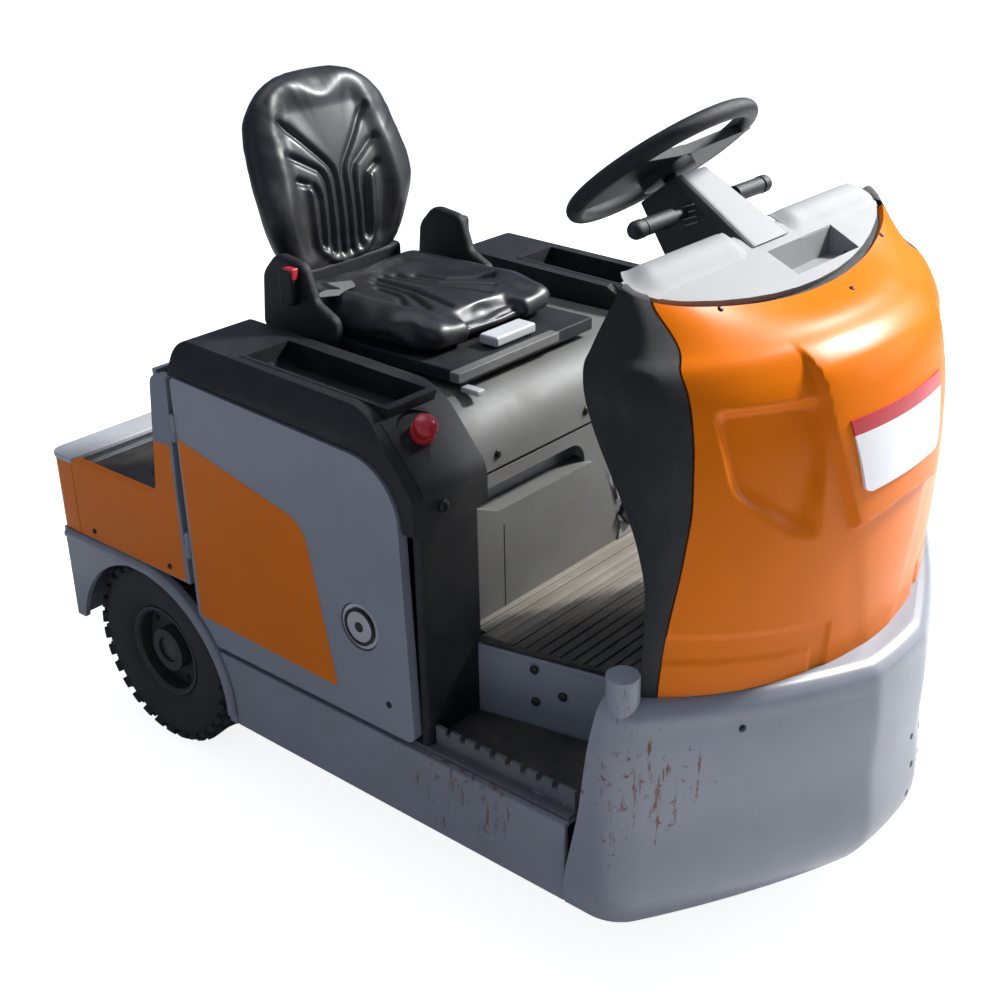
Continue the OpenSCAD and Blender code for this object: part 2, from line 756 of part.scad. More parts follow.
// Rim with its dish towards -Y and a bore for a shaft of diameter d.
module rim(d, hub_w) {
    difference() {
        rotate([-90, 0, 0]) rotate_extrude() polygon([[d / 2 + run_fit, -hub_w / 2], [d / 2 + 20, -hub_w / 2],
            [d / 2 + 20, -8], [bead_d / 2 - 12, -8], [bead_d / 2 - 12, -tyre_w * 0.34],
            [bead_d / 2 - 6, -tyre_w * 0.40], [bead_d / 2, -tyre_w * 0.40], [bead_d / 2, tyre_w * 0.40],
            [bead_d / 2 - 12, tyre_w * 0.36], [bead_d / 2 - 12, 6], [d / 2 + 20, 6], [d / 2 + 20, hub_w / 2],
            [d / 2 + run_fit, hub_w / 2]]);
        for (a = [0:72:359]) rotate([0, a, 0]) translate([bead_d / 2 - 26, 30, 0]) rotate([90, 0, 0])
            cylinder(r = 6, h = 60, $fn = 24);
    }
}

module rear_wheel_at(side) {
    translate([0, side * track / 2, axle_z]) children();
}

module rear_tyre_right() {
    color("#1a1a1c") rear_wheel_at(-1) tyre();
}

module rear_tyre_left() {
    color("#1a1a1c") rear_wheel_at(1) mirror([0, 1, 0]) tyre();
}

module rear_rim_right() {
    color("#303236") rear_wheel_at(-1) rim(stub_d, 74);
}

module rear_rim_left() {
    color("#303236") rear_wheel_at(1) mirror([0, 1, 0]) rim(stub_d, 74);
}

module front_tyre() {
    color("#1a1a1c") translate([wheelbase, 0, axle_z]) tyre();
}

module front_rim() {
    color("#303236") translate([wheelbase, 0, axle_z]) rim(axle_pin_d, tyre_w - 4);
}

module front_fork() {
    color("#2c2e30") translate([wheelbase, 0, 0]) {
        translate([0, 0, crown_z]) cylinder(r = 100, h = fork_t);
        translate([0, 0, crown_z + fork_t - 1]) cylinder(d = king_d, h = bearing_h);
        both_sides() {
            xz(-tyre_w / 2 - 8 - fork_t, -tyre_w / 2 - 8) polygon(rounded([[-60, crown_z + 2], [-38, axle_z - 40, 34],
                [38, axle_z - 40, 34], [60, crown_z + 2]]));
        }
        y_rod([0, axle_z], axle_pin_d / 2, -tyre_w / 2 - 10 - fork_t, tyre_w / 2 + 10 + fork_t);
    }
}

module tow_coupling() {
    color("#33363a") difference() {
        union() {
            box([apron_x - plate, -75, 232], [apron_x, 75, 232 + 4 * jaw_t + 2 * jaw_h]);
            for (i = [0:2]) xy(244 + i * (jaw_t + jaw_h), 244 + jaw_t + i * (jaw_t + jaw_h))
                polygon(rounded([[apron_x - plate + 1, -jaw_w / 2], [apron_x - plate + 1, jaw_w / 2],
                    [-hitch_reach, jaw_w / 2, 40], [-hitch_reach, -jaw_w / 2, 40]]));
        }
        translate([-hitch_reach + 38, 0, 200]) cylinder(d = pin_d + 2 * run_fit, h = 300);
    }
}

module tow_pin() {
    top = 244 + 3 * jaw_t + 2 * jaw_h;
    color("silver") translate([-hitch_reach + 38, 0, 0]) {
        translate([0, 0, 244 + jaw_t + jaw_h + 2]) cylinder(d = pin_d, h = top - 244 - jaw_t - jaw_h + 30);
        translate([0, 0, top + seam]) cylinder(d = pin_d + 12, h = 8);
        translate([0, 0, top + 40]) rotate([90, 0, 0]) rotate_extrude() translate([20, 0]) circle(r = 5, $fn = 24);
    }
}

module hood() {
    color("#4a4c4c") {
        xz(-hood_w2, hood_w2) polygon(rounded([[hood_x0, hood_z - 12], [hood_x0, hood_z], [hood_x1, hood_z, hood_r],
            [hood_x1, 757], [hood_x1 - 12, 757], [hood_x1 - 12, hood_z - 12, hood_r - 12]]));
        both_sides() hood_knuckle(1);
    }
}

module seat_at() {
    translate([hood_x0, -seat_shift, 0]) children();
}

module seat_base() {
    color("#2b2d31") seat_at() {
        both_sides() box([34, 50 - seat_w / 2, hood_z], [430, 80 - seat_w / 2, hood_z + 14]);
        box([20, 10 - seat_w / 2, hood_z + 13], [464, seat_w / 2 - 10, seat_z]);
    }
}

module seat_cushion() {
    color("#18191c") seat_at() hull() {
        box([8, 30 - seat_w / 2, seat_z], [364, seat_w / 2 - 30, seat_z + 20]);
        for (y = [-1, 1]) {
            translate([12, y * (seat_w / 2 - 30), cushion_z - 34]) sphere(r = 30, $fn = 32);
            translate([372, y * (seat_w / 2 - 54), cushion_z - 34]) sphere(r = 30, $fn = 32);
            translate([290, y * (seat_w / 2 - 25), cushion_z - 25]) sphere(r = 25, $fn = 32);
        }
    }
}

module seat_back() {
    color("#18191c") seat_at() hull() {
        for (y = [-1, 1]) {
            translate([-20, y * (seat_w / 2 - 80), cushion_z + 21.8]) sphere(r = 34, $fn = 32);
            translate([-18, y * (seat_w / 2 - 34), cushion_z + 130]) sphere(r = 34, $fn = 32);
            translate([-78, y * (seat_w / 2 - 54), back_z - 84]) sphere(r = 34, $fn = 32);
            translate([-88, y * (seat_w / 2 - 116), back_z - 34]) sphere(r = 34, $fn = 32);
        }
    }
}

module seat_wings() {
    outline = rounded([[-10, hood_z + 30, 20], [200, hood_z + 30, 20], [190, cushion_z - 20, 24],
        [140, cushion_z + 4, 20], [116, cushion_z + 72, 26], [42, cushion_z + 82, 40], [2, cushion_z + 40, 40]]);
    color("#202226") seat_at() both_sides() xz(-seat_w / 2 - 26, -seat_w / 2 - seam) polygon(outline);
}

module belt_parts() {
    color("firebrick") seat_at() box([70, -seat_w / 2 - 46, cushion_z - 4], [108, -seat_w / 2 - 26, cushion_z + 66]);
    color("#202226") seat_at() box([20, seat_w / 2 + 26, cushion_z - 40], [100, seat_w / 2 + 54, cushion_z + 60]);
}

module right_door() {
    difference() {
        union() {
            xz(-half_w, -half_w + panel_t) door_outline(0);
            door_knuckles(1);
        }
        y_rod([641, 517], 46, -half_w - 1, -half_w + 8);
        for (z = [500, 745]) translate([door_axis_x, -half_w, z - 6])
            cylinder(r = hinge_pin_r + run_fit, h = 70, $fn = 32);
    }
}

module right_latch() {
    y_rod([641, 517], 44, -half_w + 2, -half_w + 8);
    y_rod([641, 517], 30, -half_w - 1, -half_w + 3);
}

module door_right() {
    color("lightslategray") right_door();
}

module door_left() {
    color("lightslategray") mirror([0, 1, 0]) right_door();
}

module latch_right() {
    color("silver") right_latch();
}

module latch_left() {
    color("silver") mirror([0, 1, 0]) right_latch();
}

module steering_wheel() {
    color("#18191c") on_column() {
        rotate_extrude() translate([wheel_d / 2 - wheel_rim_d / 2, 0]) circle(d = wheel_rim_d, $fn = 32);
        translate([0, 0, -30]) cylinder(r = 48, h = 34);
        translate([0, 0, -14]) linear_extrude(16) both_sides_2d() polygon(rounded([[-48, 0], [-80, wheel_d / 2 - 22],
            [80, wheel_d / 2 - 22], [48, 0]]));
        translate([0, 0, -110]) cylinder(d = shaft_d, h = 90);
    }
}

module cover_right() {
    side_cover(true);
}

module cover_left() {
    mirror([0, 1, 0]) side_cover(false);
}

placed() chassis_frame();
placed() side_skirts();
placed() rear_fenders();
placed() tail_panel();
placed() deck_rim();
placed() rear_deck();
placed() rear_side_panels();
placed() bulkhead();
placed() cover_right();
placed() cover_left();
placed() stop_button();
placed() pillar_panels();
placed() calf_panel();
placed() floor_plate();
placed() rubber_mats();
placed() entry_steps();
placed() front_bumper();
placed() cowl_front();
placed() cowl_sides();
placed() dashboard();
placed() leg_shield();
placed() steering_column();
placed() pedals();
placed() battery();
placed() rear_axle();
placed() tow_coupling();
placed() tow_pin();
placed() hood();
placed() seat_base();
placed() seat_cushion();
placed() seat_back();
placed() seat_wings();
placed() belt_parts();
placed() door_right();
placed() door_left();
placed() latch_right();
placed() latch_left();
placed() front_fork();
placed() front_tyre();
placed() front_rim();
placed() rear_tyre_right();
placed() rear_rim_right();
placed() rear_tyre_left();
placed() rear_rim_left();
placed() steering_wheel();
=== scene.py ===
"""Looks of a three-wheeled electric tow tractor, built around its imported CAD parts."""

import json
import logging
import math
from collections.abc import Callable, Sequence
from dataclasses import dataclass, field
from enum import Enum

import bmesh
import bpy
import numpy as np
from mathutils import Matrix, Vector

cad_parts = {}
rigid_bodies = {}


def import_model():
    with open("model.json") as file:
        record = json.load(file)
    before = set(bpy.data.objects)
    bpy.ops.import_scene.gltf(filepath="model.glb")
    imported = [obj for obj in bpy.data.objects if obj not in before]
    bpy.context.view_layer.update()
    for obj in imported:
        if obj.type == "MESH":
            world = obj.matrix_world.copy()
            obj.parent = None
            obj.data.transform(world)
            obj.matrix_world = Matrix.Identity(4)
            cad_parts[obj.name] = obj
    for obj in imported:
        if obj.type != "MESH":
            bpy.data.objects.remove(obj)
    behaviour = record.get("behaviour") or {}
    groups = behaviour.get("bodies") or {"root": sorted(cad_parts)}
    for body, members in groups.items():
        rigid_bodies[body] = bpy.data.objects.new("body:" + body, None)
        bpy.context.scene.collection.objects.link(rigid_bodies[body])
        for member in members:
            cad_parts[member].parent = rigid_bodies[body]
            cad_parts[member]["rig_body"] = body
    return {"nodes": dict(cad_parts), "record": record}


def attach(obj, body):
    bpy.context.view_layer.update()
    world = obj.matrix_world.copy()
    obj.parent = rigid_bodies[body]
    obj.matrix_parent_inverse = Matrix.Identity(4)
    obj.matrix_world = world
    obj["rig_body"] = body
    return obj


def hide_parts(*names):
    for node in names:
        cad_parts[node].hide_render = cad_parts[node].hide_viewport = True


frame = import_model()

log = logging.getLogger("tow_tractor")
AXLE_X = 0.540
Colour = tuple[float, float, float]
Point = tuple[float, float, float]
Inputs = dict[str | int, object]
SIGNS: tuple[float, float] = (-1.0, 1.0)
SIDES: tuple[tuple[float, str], ...] = ((-1.0, "right"), (1.0, "left"))


def at(x: float, y: float, z: float) -> Vector:
    """Point given from the rear axle, in the frame of the CAD parts."""
    return Vector((x - AXLE_X, y, z))


def smooth(value: np.ndarray, low: float, high: float) -> np.ndarray:
    """Smooth step of an array from 0 at low to 1 at high."""
    t = np.clip((value - low) / (high - low), 0.0, 1.0)
    return t * t * (3.0 - 2.0 * t)


class Graph:
    """Adds and links the nodes of one shader or geometry tree."""

    def __init__(self, tree: bpy.types.NodeTree) -> None:
        """Keeps the tree that the nodes go into."""
        self.tree = tree

    def add(self, kind: str, inputs: Inputs | None = None, **settings: object) -> bpy.types.Node:
        """Adds a node.

        Args:
            kind: The node's type name.
            inputs: Values or outputs for its inputs.
            settings: Properties of the node to set.

        Returns:
            The new node.
        """
        node = self.tree.nodes.new(kind)
        for key, value in settings.items():
            setattr(node, key, value)
        self.fill(node, inputs or {})
        return node

    def fill(self, node: bpy.types.Node, inputs: Inputs) -> None:
        """Feeds a node's inputs, given by name or number."""
        for key, value in inputs.items():
            self.feed(node.inputs[key], value)

    def feed(self, socket: bpy.types.NodeSocket, value: object) -> None:
        """Links an output to a socket, or sets the socket to a plain value."""
        if isinstance(value, bpy.types.NodeSocket):
            self.tree.links.new(value, socket)
        else:
            socket.default_value = value

    def math(self, operation: str, a: object, b: object = 0.0, clamp: bool = False) -> bpy.types.NodeSocket:
        """Output of a Math node on two values."""
        return self.add("ShaderNodeMath", {0: a, 1: b}, operation=operation, use_clamp=clamp).outputs[0]

    def noise(self, vector: object, scale: object, detail: float = 4.0, rough: float = 0.5) -> bpy.types.NodeSocket:
        """Value of a noise texture at a vector."""
        wants = {"Vector": vector, "Scale": scale, "Detail": detail, "Roughness": rough}
        return self.add("ShaderNodeTexNoise", wants).outputs["Fac"]

    def step(self, value: object, low: float, high: float) -> bpy.types.NodeSocket:
        """Smooth step of a value from 0 at low to 1 at high."""
        wants = {"Value": value, "From Min": low, "From Max": high}
        return self.add("ShaderNodeMapRange", wants, interpolation_type="SMOOTHSTEP").outputs["Result"]

    def realise(self, geometry: bpy.types.NodeSocket, material: bpy.types.NodeSocket) -> bpy.types.NodeSocket:
        """Geometry with real instances and a material."""
        real = self.add("GeometryNodeRealizeInstances", {"Geometry": geometry}).outputs["Geometry"]
        return self.add("GeometryNodeSetMaterial", {"Geometry": real, "Material": material}).outputs["Geometry"]

    def split(self, vector: object) -> bpy.types.bpy_prop_collection:
        """Outputs X, Y and Z of a vector."""
        return self.add("ShaderNodeSeparateXYZ", {0: vector}).outputs

    def vector(self, x: object = 0.0, y: object = 0.0, z: object = 0.0) -> bpy.types.NodeSocket:
        """Vector of three values."""
        return self.add("ShaderNodeCombineXYZ", {0: x, 1: y, 2: z}).outputs[0]

    def stretch(self, vector: object, scale: Point) -> bpy.types.NodeSocket:
        """Vector multiplied by a scale for each axis."""
        return self.add("ShaderNodeVectorMath", {0: vector, 1: scale}, operation="MULTIPLY").outputs["Vector"]

    def mix(self, factor: object, a: object, b: object) -> bpy.types.NodeSocket:
        """Colour between a and b."""
        first, second = ((*c, 1.0) if isinstance(c, tuple) else c for c in (a, b))
        return self.add("ShaderNodeMix", {0: factor, 6: first, 7: second}, data_type="RGBA").outputs[2]


def shader_group(name: str, inputs: dict[str, object], outputs: dict[str, str]) -> tuple[Graph, dict, dict, bool]:
    """Finds or starts a shader node group.

    Args:
        name: The group's name.
        inputs: Input names with their default values.
        outputs: Output names with their socket types.

    Returns:
        The group's graph, its inner inputs and outputs by name, and whether it is new.
    """
    tree = bpy.data.node_groups.get(name)
    if tree is not None:
        return Graph(tree), {}, {}, False
    tree = bpy.data.node_groups.new(name, "ShaderNodeTree")
    for key, value in inputs.items():
        kind = "NodeSocketVector" if isinstance(value, tuple) else "NodeSocketFloat"
        socket = tree.interface.new_socket(key, in_out="INPUT", socket_type=kind)
        socket.default_value = value
    for key, kind in outputs.items():
        tree.interface.new_socket(key, in_out="OUTPUT", socket_type=kind)
    graph = Graph(tree)
    enter, leave = graph.add("NodeGroupInput"), graph.add("NodeGroupOutput")
    return graph, {s.name: s for s in enter.outputs}, {s.name: s for s in leave.inputs}, True


def weathering() -> bpy.types.NodeTree:
    """Shader group with the masks of dust, scratches and rust and a soft mottle."""
    masks = {key: "NodeSocketFloat" for key in ("Mottle", "Dust", "Scratch", "Rust")}
    wants = {"Vector": (0.0, 0.0, 0.0), "Dust": 0.2, "Scratches": 0.0, "Rust": 0.0,
             "Rust Centre": (0.0, 0.0, 0.0), "Rust Radius": 0.3}
    g, enter, leave, new = shader_group("weathering", wants, masks)
    if new:
        place = enter["Vector"]
        g.feed(leave["Mottle"], g.step(g.noise(place, 5.0, 5.0, 0.6), 0.3, 0.7))
        low = g.math("SUBTRACT", 0.16, g.math("MULTIPLY", g.split(place)["Z"], 0.16))
        dust = g.step(g.math("ADD", g.noise(place, 11.0, 7.0, 0.65), low), 0.42, 0.78)
        g.feed(leave["Dust"], g.math("MULTIPLY", dust, enter["Dust"], clamp=True))
        along = g.noise(g.stretch(place, (7.0, 9.0, 120.0)), 1.0, 3.0, 0.6)
        across = g.noise(g.stretch(place, (60.0, 60.0, 14.0)), 1.6, 3.0, 0.6)
        lines = g.math("MAXIMUM", g.step(along, 0.66, 0.70), g.step(across, 0.70, 0.74))
        patches = g.step(g.noise(place, 6.0, 3.0), 0.48, 0.66)
        scratch = g.math("MULTIPLY", lines, patches)
        g.feed(leave["Scratch"], g.math("MULTIPLY", scratch, enter["Scratches"], clamp=True))
        apart = g.add("ShaderNodeVectorMath", {0: place, 1: enter["Rust Centre"]}, operation="DISTANCE")
        near = g.math("SUBTRACT", 1.0, g.math("DIVIDE", apart.outputs["Value"], enter["Rust Radius"]), clamp=True)
        streak = g.noise(g.stretch(place, (1.0, 1.0, 0.16)), 58.0, 8.0, 0.7)
        speck = g.noise(place, 46.0, 9.0, 0.75)
        gain = g.math("MULTIPLY", g.step(near, 0.0, 1.0), 0.15)
        spots = g.math("MAXIMUM", g.step(g.math("ADD", streak, gain), 0.675, 0.74),
                       g.step(g.math("ADD", speck, gain), 0.70, 0.76))
        rust = g.math("MULTIPLY", spots, g.step(near, 0.0, 0.15))
        g.feed(leave["Rust"], g.math("MULTIPLY", rust, enter["Rust"], clamp=True))
    return g.tree


def relief() -> bpy.types.NodeTree:
    """Shader group with the normal of a fine moulded or painted grain."""
    wants = {"Vector": (0.0, 0.0, 0.0), "Scale": 900.0, "Strength": 0.1, "Waves": 0.02}
    g, enter, leave, new = shader_group("relief", wants, {"Normal": "NodeSocketVector"})
    if new:
        fine = g.math("MULTIPLY", g.noise(enter["Vector"], enter["Scale"], 3.0), enter["Strength"])
        broad = g.math("MULTIPLY", g.noise(enter["Vector"], 16.0, 2.0), enter["Waves"])
        bump = g.add("ShaderNodeBump", {"Distance": 0.002, "Height": g.math("ADD", fine, broad)})
        g.feed(leave["Normal"], bump.outputs["Normal"])
    return g.tree


RUST_RGB: Colour = (0.15, 0.045, 0.018)


@dataclass(frozen=True)
class Finish:
    """One surface finish with its wear."""

    name: str
    colour: Colour
    roughness: float = 0.5
    metallic: float = 0.0
    coat: float = 0.0
    specular: float = 0.5
    mottle: float = 0.08
    grain: float = 0.05
    grain_scale: float = 700.0
    waves: float = 0.0
    dust: float = 0.2
    dust_colour: Colour = (0.20, 0.175, 0.14)
    scratches: float = 0.0
    scratch_colour: Colour = (0.55, 0.56, 0.58)
    rust: float = 0.0
    rust_at: Point = (0.0, 0.0, 0.0)
    rust_radius: float = 0.3
    second: Colour | None = None
    zone: Callable[[Graph, bpy.types.NodeSocket], bpy.types.NodeSocket] | None = None

    def material(self) -> bpy.types.Material:
        """Returns this finish's material, built on first use."""
        made = bpy.data.materials.get("look_" + self.name)
        return made if made is not None else self._build()

    def _build(self) -> bpy.types.Material:
        """Builds the material from the shared groups."""
        made = bpy.data.materials.new("look_" + self.name)
        made.use_nodes = True
        g = Graph(made.node_tree)
        shader = made.node_tree.nodes["Principled BSDF"]
        place = g.add("ShaderNodeTexCoord").outputs["Object"]
        wants = {"Vector": place, "Dust": self.dust, "Scratches": self.scratches, "Rust": self.rust,
                 "Rust Centre": self.rust_at, "Rust Radius": self.rust_radius}
        worn = g.add("ShaderNodeGroup", wants, node_tree=weathering()).outputs
        dark, light = (tuple(c * k for c in self.colour) for k in (1.0 - self.mottle, 1.0 + self.mottle))
        colour = g.mix(worn["Mottle"], dark, light)
        if self.zone is not None and self.second is not None:
            colour = g.mix(self.zone(g, place), colour, self.second)
        for key, layer in (("Scratch", self.scratch_colour), ("Dust", self.dust_colour), ("Rust", RUST_RGB)):
            colour = g.mix(worn[key], colour, layer)
        rough: object = self.roughness
        for key, gain in (("Dust", 0.35), ("Rust", 0.3), ("Mottle", 0.06)):
            rough = g.math("ADD", rough, g.math("MULTIPLY", worn[key], gain))
        wants = {"Vector": place, "Scale": self.grain_scale, "Strength": self.grain, "Waves": self.waves}
        skin = g.add("ShaderNodeGroup", wants, node_tree=relief()).outputs["Normal"]
        g.fill(shader, {"Base Color": colour, "Roughness": rough, "Normal": skin, "Metallic": self.metallic,
                        "Specular IOR Level": self.specular, "Coat Weight": self.coat, "Coat Roughness": 0.08})
        return made


def grey_zone(g: Graph, place: bpy.types.NodeSocket) -> bpy.types.NodeSocket:
    """Mask of the grey stripes on the rear side panels: above and below the orange and along the door gap."""
    parts = g.split(place)
    slope = g.math("MULTIPLY", parts["X"], -0.06)
    above = g.step(g.math("ADD", parts["Z"], slope), 0.753, 0.755)
    gap = g.step(parts["X"], 0.152 - AXLE_X, 0.154 - AXLE_X)
    low = g.step(g.math("MULTIPLY", parts["Z"], -1.0), -0.4405, -0.4395)
    return g.math("MAXIMUM", g.math("MAXIMUM", above, gap), low)


def column_painted_shade_zone(g: Graph, place: bpy.types.NodeSocket) -> bpy.types.NodeSocket:
    """Mask of the column cover's side faces, painted near black as shade beside the pale front, which is painted
    sunlight.
    """
    parts = g.split(place)
    side = g.math("ABSOLUTE", parts["Y"])
    lean = (0.616, 0.788)
    run = g.math("SUBTRACT", g.math("MULTIPLY", parts["X"], lean[0]), g.math("MULTIPLY", parts["Z"], lean[1]))
    edge = g.math("ADD", g.math("MULTIPLY", run, 0.092), 0.1015)
    return g.step(g.math("SUBTRACT", side, edge), -0.0015, 0.0015)


def dust_and_painted_shadow_zone(g: Graph, place: bpy.types.NodeSocket) -> bpy.types.NodeSocket:
    """Mask of the dusty rear part of the floor mat, whose beige is partly dust and partly painted sunlight; the near
    part stays plain black as painted shadow.
    """
    parts = g.split(place)
    low = g.math("MULTIPLY", parts["Z"], -1.0)
    floor = g.math("MULTIPLY", g.step(parts["Z"], 0.40, 0.45), g.step(low, -0.54, -0.50))
    # The edge along x and y follows a cast shadow across the mat: painted shadow in front of it, painted sunlight
    # with dust behind it.
    line = g.math("SUBTRACT", parts["X"], g.math("MULTIPLY", parts["Y"], 0.43))
    soft = g.math("MULTIPLY", g.noise(place, 14.0, 4.0, 0.6), 0.05)
    rear = g.step(g.math("MULTIPLY", g.math("ADD", line, soft), -1.0), -0.395, -0.355)
    worn = g.math("ADD", 0.62, g.math("MULTIPLY", g.noise(place, 40.0, 6.0, 0.6), 0.4))
    return g.math("MULTIPLY", floor, g.math("MULTIPLY", worn, rear))


ORANGE_RGB: Colour = (0.80, 0.178, 0.001)
GREY_RGB: Colour = (0.235, 0.255, 0.295)
BLACK_RGB: Colour = (0.009, 0.010, 0.013)


class Look(Enum):
    """The finishes of the vehicle."""

    ORANGE = Finish("orange_paint", ORANGE_RGB, 0.28, coat=0.05, specular=0.10, mottle=0.03, grain=0.02, waves=0.03,
                    dust=0.01)
    PANEL = Finish("orange_panel", ORANGE_RGB, 0.38, coat=0.03, specular=0.10, mottle=0.04, grain=0.02, dust=0.08,
                   scratches=0.12, second=GREY_RGB, zone=grey_zone)
    GREY = Finish("grey_paint", GREY_RGB, 0.34, coat=0.15, mottle=0.05, grain=0.03, dust=0.1, scratches=0.10)
    SKIRT = Finish("grey_skirt", GREY_RGB, 0.38, coat=0.1, mottle=0.07, grain=0.04, waves=0.05, dust=0.22,
                   scratches=0.55, rust=0.65, rust_at=(0.34, -0.485, 0.30), rust_radius=0.30)
    BUMPER = Finish("grey_bumper", GREY_RGB, 0.34, coat=0.15, mottle=0.05, grain=0.03, waves=0.05, dust=0.12,
                    scratches=0.35, rust=0.95, rust_at=(0.668, -0.46, 0.43), rust_radius=0.27)
    PALE = Finish("pale_grey", (0.50, 0.515, 0.53), 0.42, mottle=0.05, grain=0.03, dust=0.15, scratches=0.15)
    BLACK = Finish("black_plastic", BLACK_RGB, 0.44, specular=0.35, mottle=0.12, grain=0.35, grain_scale=1500.0,
                   dust=0.08)
    SIDE = Finish("black_side", (0.012, 0.0125, 0.015), 0.50, specular=0.35, mottle=0.10, grain=0.4,
                  grain_scale=1500.0, dust=0.10)
    DARK = Finish("dark_plastic", (0.145, 0.146, 0.140), 0.40, mottle=0.10, grain=0.25, grain_scale=1300.0,
                  dust=0.55, dust_colour=(0.15, 0.14, 0.12), scratches=0.2, scratch_colour=(0.2, 0.2, 0.19))
    # Pale grey as painted sunlight on the dash's dark plastic, which the black cowl sides show in shade; small pale
    # parts share it.
    DASH_PAINTED_SUNLIGHT = Finish("dash_plastic_painted_sunlight", (0.30, 0.303, 0.305), 0.5, mottle=0.06, grain=0.3, grain_scale=1400.0, dust=0.12)
    # Pale front as painted sunlight and near-black sides as painted shade, both on the column cover's one plastic.
    COLUMN_PAINTED_LIGHT_AND_SHADE = Finish("column_painted_light_and_shade", (0.30, 0.305, 0.305), 0.48, mottle=0.05, grain=0.25, grain_scale=1400.0,
                    dust=0.1, second=(0.016, 0.017, 0.019), zone=column_painted_shade_zone)
    TREAD = Finish("step_steel", (0.10, 0.108, 0.125), 0.42, mottle=0.08, grain=0.05, dust=0.3, scratches=0.6)
    # The second colour is a beige that is partly dust and partly painted sunlight; its zone ends where a cast shadow
    # falls.
    MAT = Finish("rubber_mat", (0.022, 0.022, 0.024), 0.62, mottle=0.12, grain=0.4, grain_scale=500.0, dust=0.35,
                 dust_colour=(0.17, 0.145, 0.11), second=(0.25, 0.225, 0.185), zone=dust_and_painted_shadow_zone)
    TYRE = Finish("tyre_rubber", (0.016, 0.016, 0.017), 0.66, mottle=0.15, grain=0.3, grain_scale=420.0, dust=0.4,
                  dust_colour=(0.075, 0.066, 0.052))
    RIM = Finish("dark_rim", (0.022, 0.023, 0.025), 0.45, mottle=0.1, dust=0.4, dust_colour=(0.07, 0.06, 0.05))
    STEEL = Finish("dark_steel", (0.035, 0.036, 0.04), 0.45, metallic=0.2, mottle=0.1, dust=0.35, scratches=0.2)
    BRIGHT = Finish("bright_metal", (0.60, 0.61, 0.63), 0.24, metallic=1.0, mottle=0.05, dust=0.1)
    RED = Finish("red_plastic", (0.52, 0.022, 0.035), 0.28, coat=0.3, mottle=0.05, grain=0.02, dust=0.08)
    WHITE = Finish("white_plate", (0.80, 0.80, 0.79), 0.32, mottle=0.02, grain=0.02, dust=0.06)
    VINYL = Finish("seat_vinyl", (0.008, 0.0085, 0.012), 0.36, coat=0.06, mottle=0.1, grain=0.10, grain_scale=1100.0,
                   waves=0.01, dust=0.10)
    WEBBING = Finish("belt_webbing", (0.16, 0.16, 0.155), 0.8, mottle=0.1, grain=0.5, grain_scale=900.0, dust=0.3)
    SCREW = Finish("dark_screw", (0.012, 0.012, 0.013), 0.4, metallic=0.3, mottle=0.1, dust=0.1)


def link(name: str, data: bpy.types.ID) -> bpy.types.Object:
    """New object for a mesh, camera or lamp, in the scene."""
    made = bpy.data.objects.new(name, data)
    bpy.context.scene.collection.objects.link(made)
    return made


def bake(piece: bpy.types.Object) -> bpy.types.Object:
    """Turns an object's modifiers into its plain mesh.

    Args:
        piece: The object.

    Returns:
        The same object with the evaluated mesh and no modifier.
    """
    graph = bpy.context.evaluated_depsgraph_get()
    mesh = bpy.data.meshes.new_from_object(piece.evaluated_get(graph), depsgraph=graph)
    piece.modifiers.clear()
    piece.data = mesh
    return piece


def modify(piece: bpy.types.Object, kind: str, **settings: object) -> bpy.types.Modifier:
    """Adds a modifier with some settings to an object."""
    made = piece.modifiers.new(kind, kind)
    for key, value in settings.items():
        setattr(made, key, value)
    return made


def grow(piece: bpy.types.Object, tree: bpy.types.NodeTree, **inputs: object) -> bpy.types.Object:
    """Runs a geometry tree on an object and bakes the result.

    Args:
        piece: The object.
        tree: The tree.
        inputs: Values of the tree's inputs by name.

    Returns:
        The same object with the tree's mesh.
    """
    nodes = modify(piece, "NODES", node_group=tree)
    names = {s.name: s.identifier for s in tree.interface.items_tree if s.in_out == "INPUT"}
    for key, value in inputs.items():
        nodes[names[key]] = value
    return bake(piece)


def shade(piece: bpy.types.Object, angle: float = 35.0, weighted: bool = True) -> None:
    """Smooths a piece's faces up to an angle in degrees."""
    piece.data.shade_smooth()
    piece.data.set_sharp_from_angle(angle=math.radians(angle))
    if weighted:
        modify(piece, "WEIGHTED_NORMAL", keep_sharp=True)
        bake(piece)


def wear(piece: bpy.types.Object, body: str, look: Look, slot: str, *nodes: str) -> None:
    """Gives a piece its finish, its body and the CAD nodes that it stands for.

    Args:
        piece: The finished object.
        body: The CAD body that it moves with.
        look: Its finish.
        slot: The record's material slot; not used.
        nodes: CAD nodes that it replaces.
    """
    piece.data.materials.clear()
    piece.data.materials.append(look.value.material())
    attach(piece, body)
    if nodes:
        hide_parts(*nodes)
    log.info("%s rides on %s", piece.name, body)


def plain_mesh(name: str, made: bmesh.types.BMesh) -> bpy.types.Mesh:
    """Mesh of an edit mesh, which is freed."""
    mesh = bpy.data.meshes.new(name)
    made.to_mesh(mesh)
    made.free()
    return mesh


def mesh_of(name: str, points: Sequence[Sequence[float]], faces: Sequence[Sequence[int]]) -> bpy.types.Mesh:
    """Mesh with outward normals from points and faces."""
    mesh = bpy.data.meshes.new(name)
    mesh.from_pydata([tuple(p) for p in points], [], faces)
    made = bmesh.new()
    made.from_mesh(mesh)
    bmesh.ops.remove_doubles(made, verts=made.verts, dist=1e-6)
    bmesh.ops.recalc_face_normals(made, faces=made.faces)
    made.to_mesh(mesh)
    made.free()
    return mesh


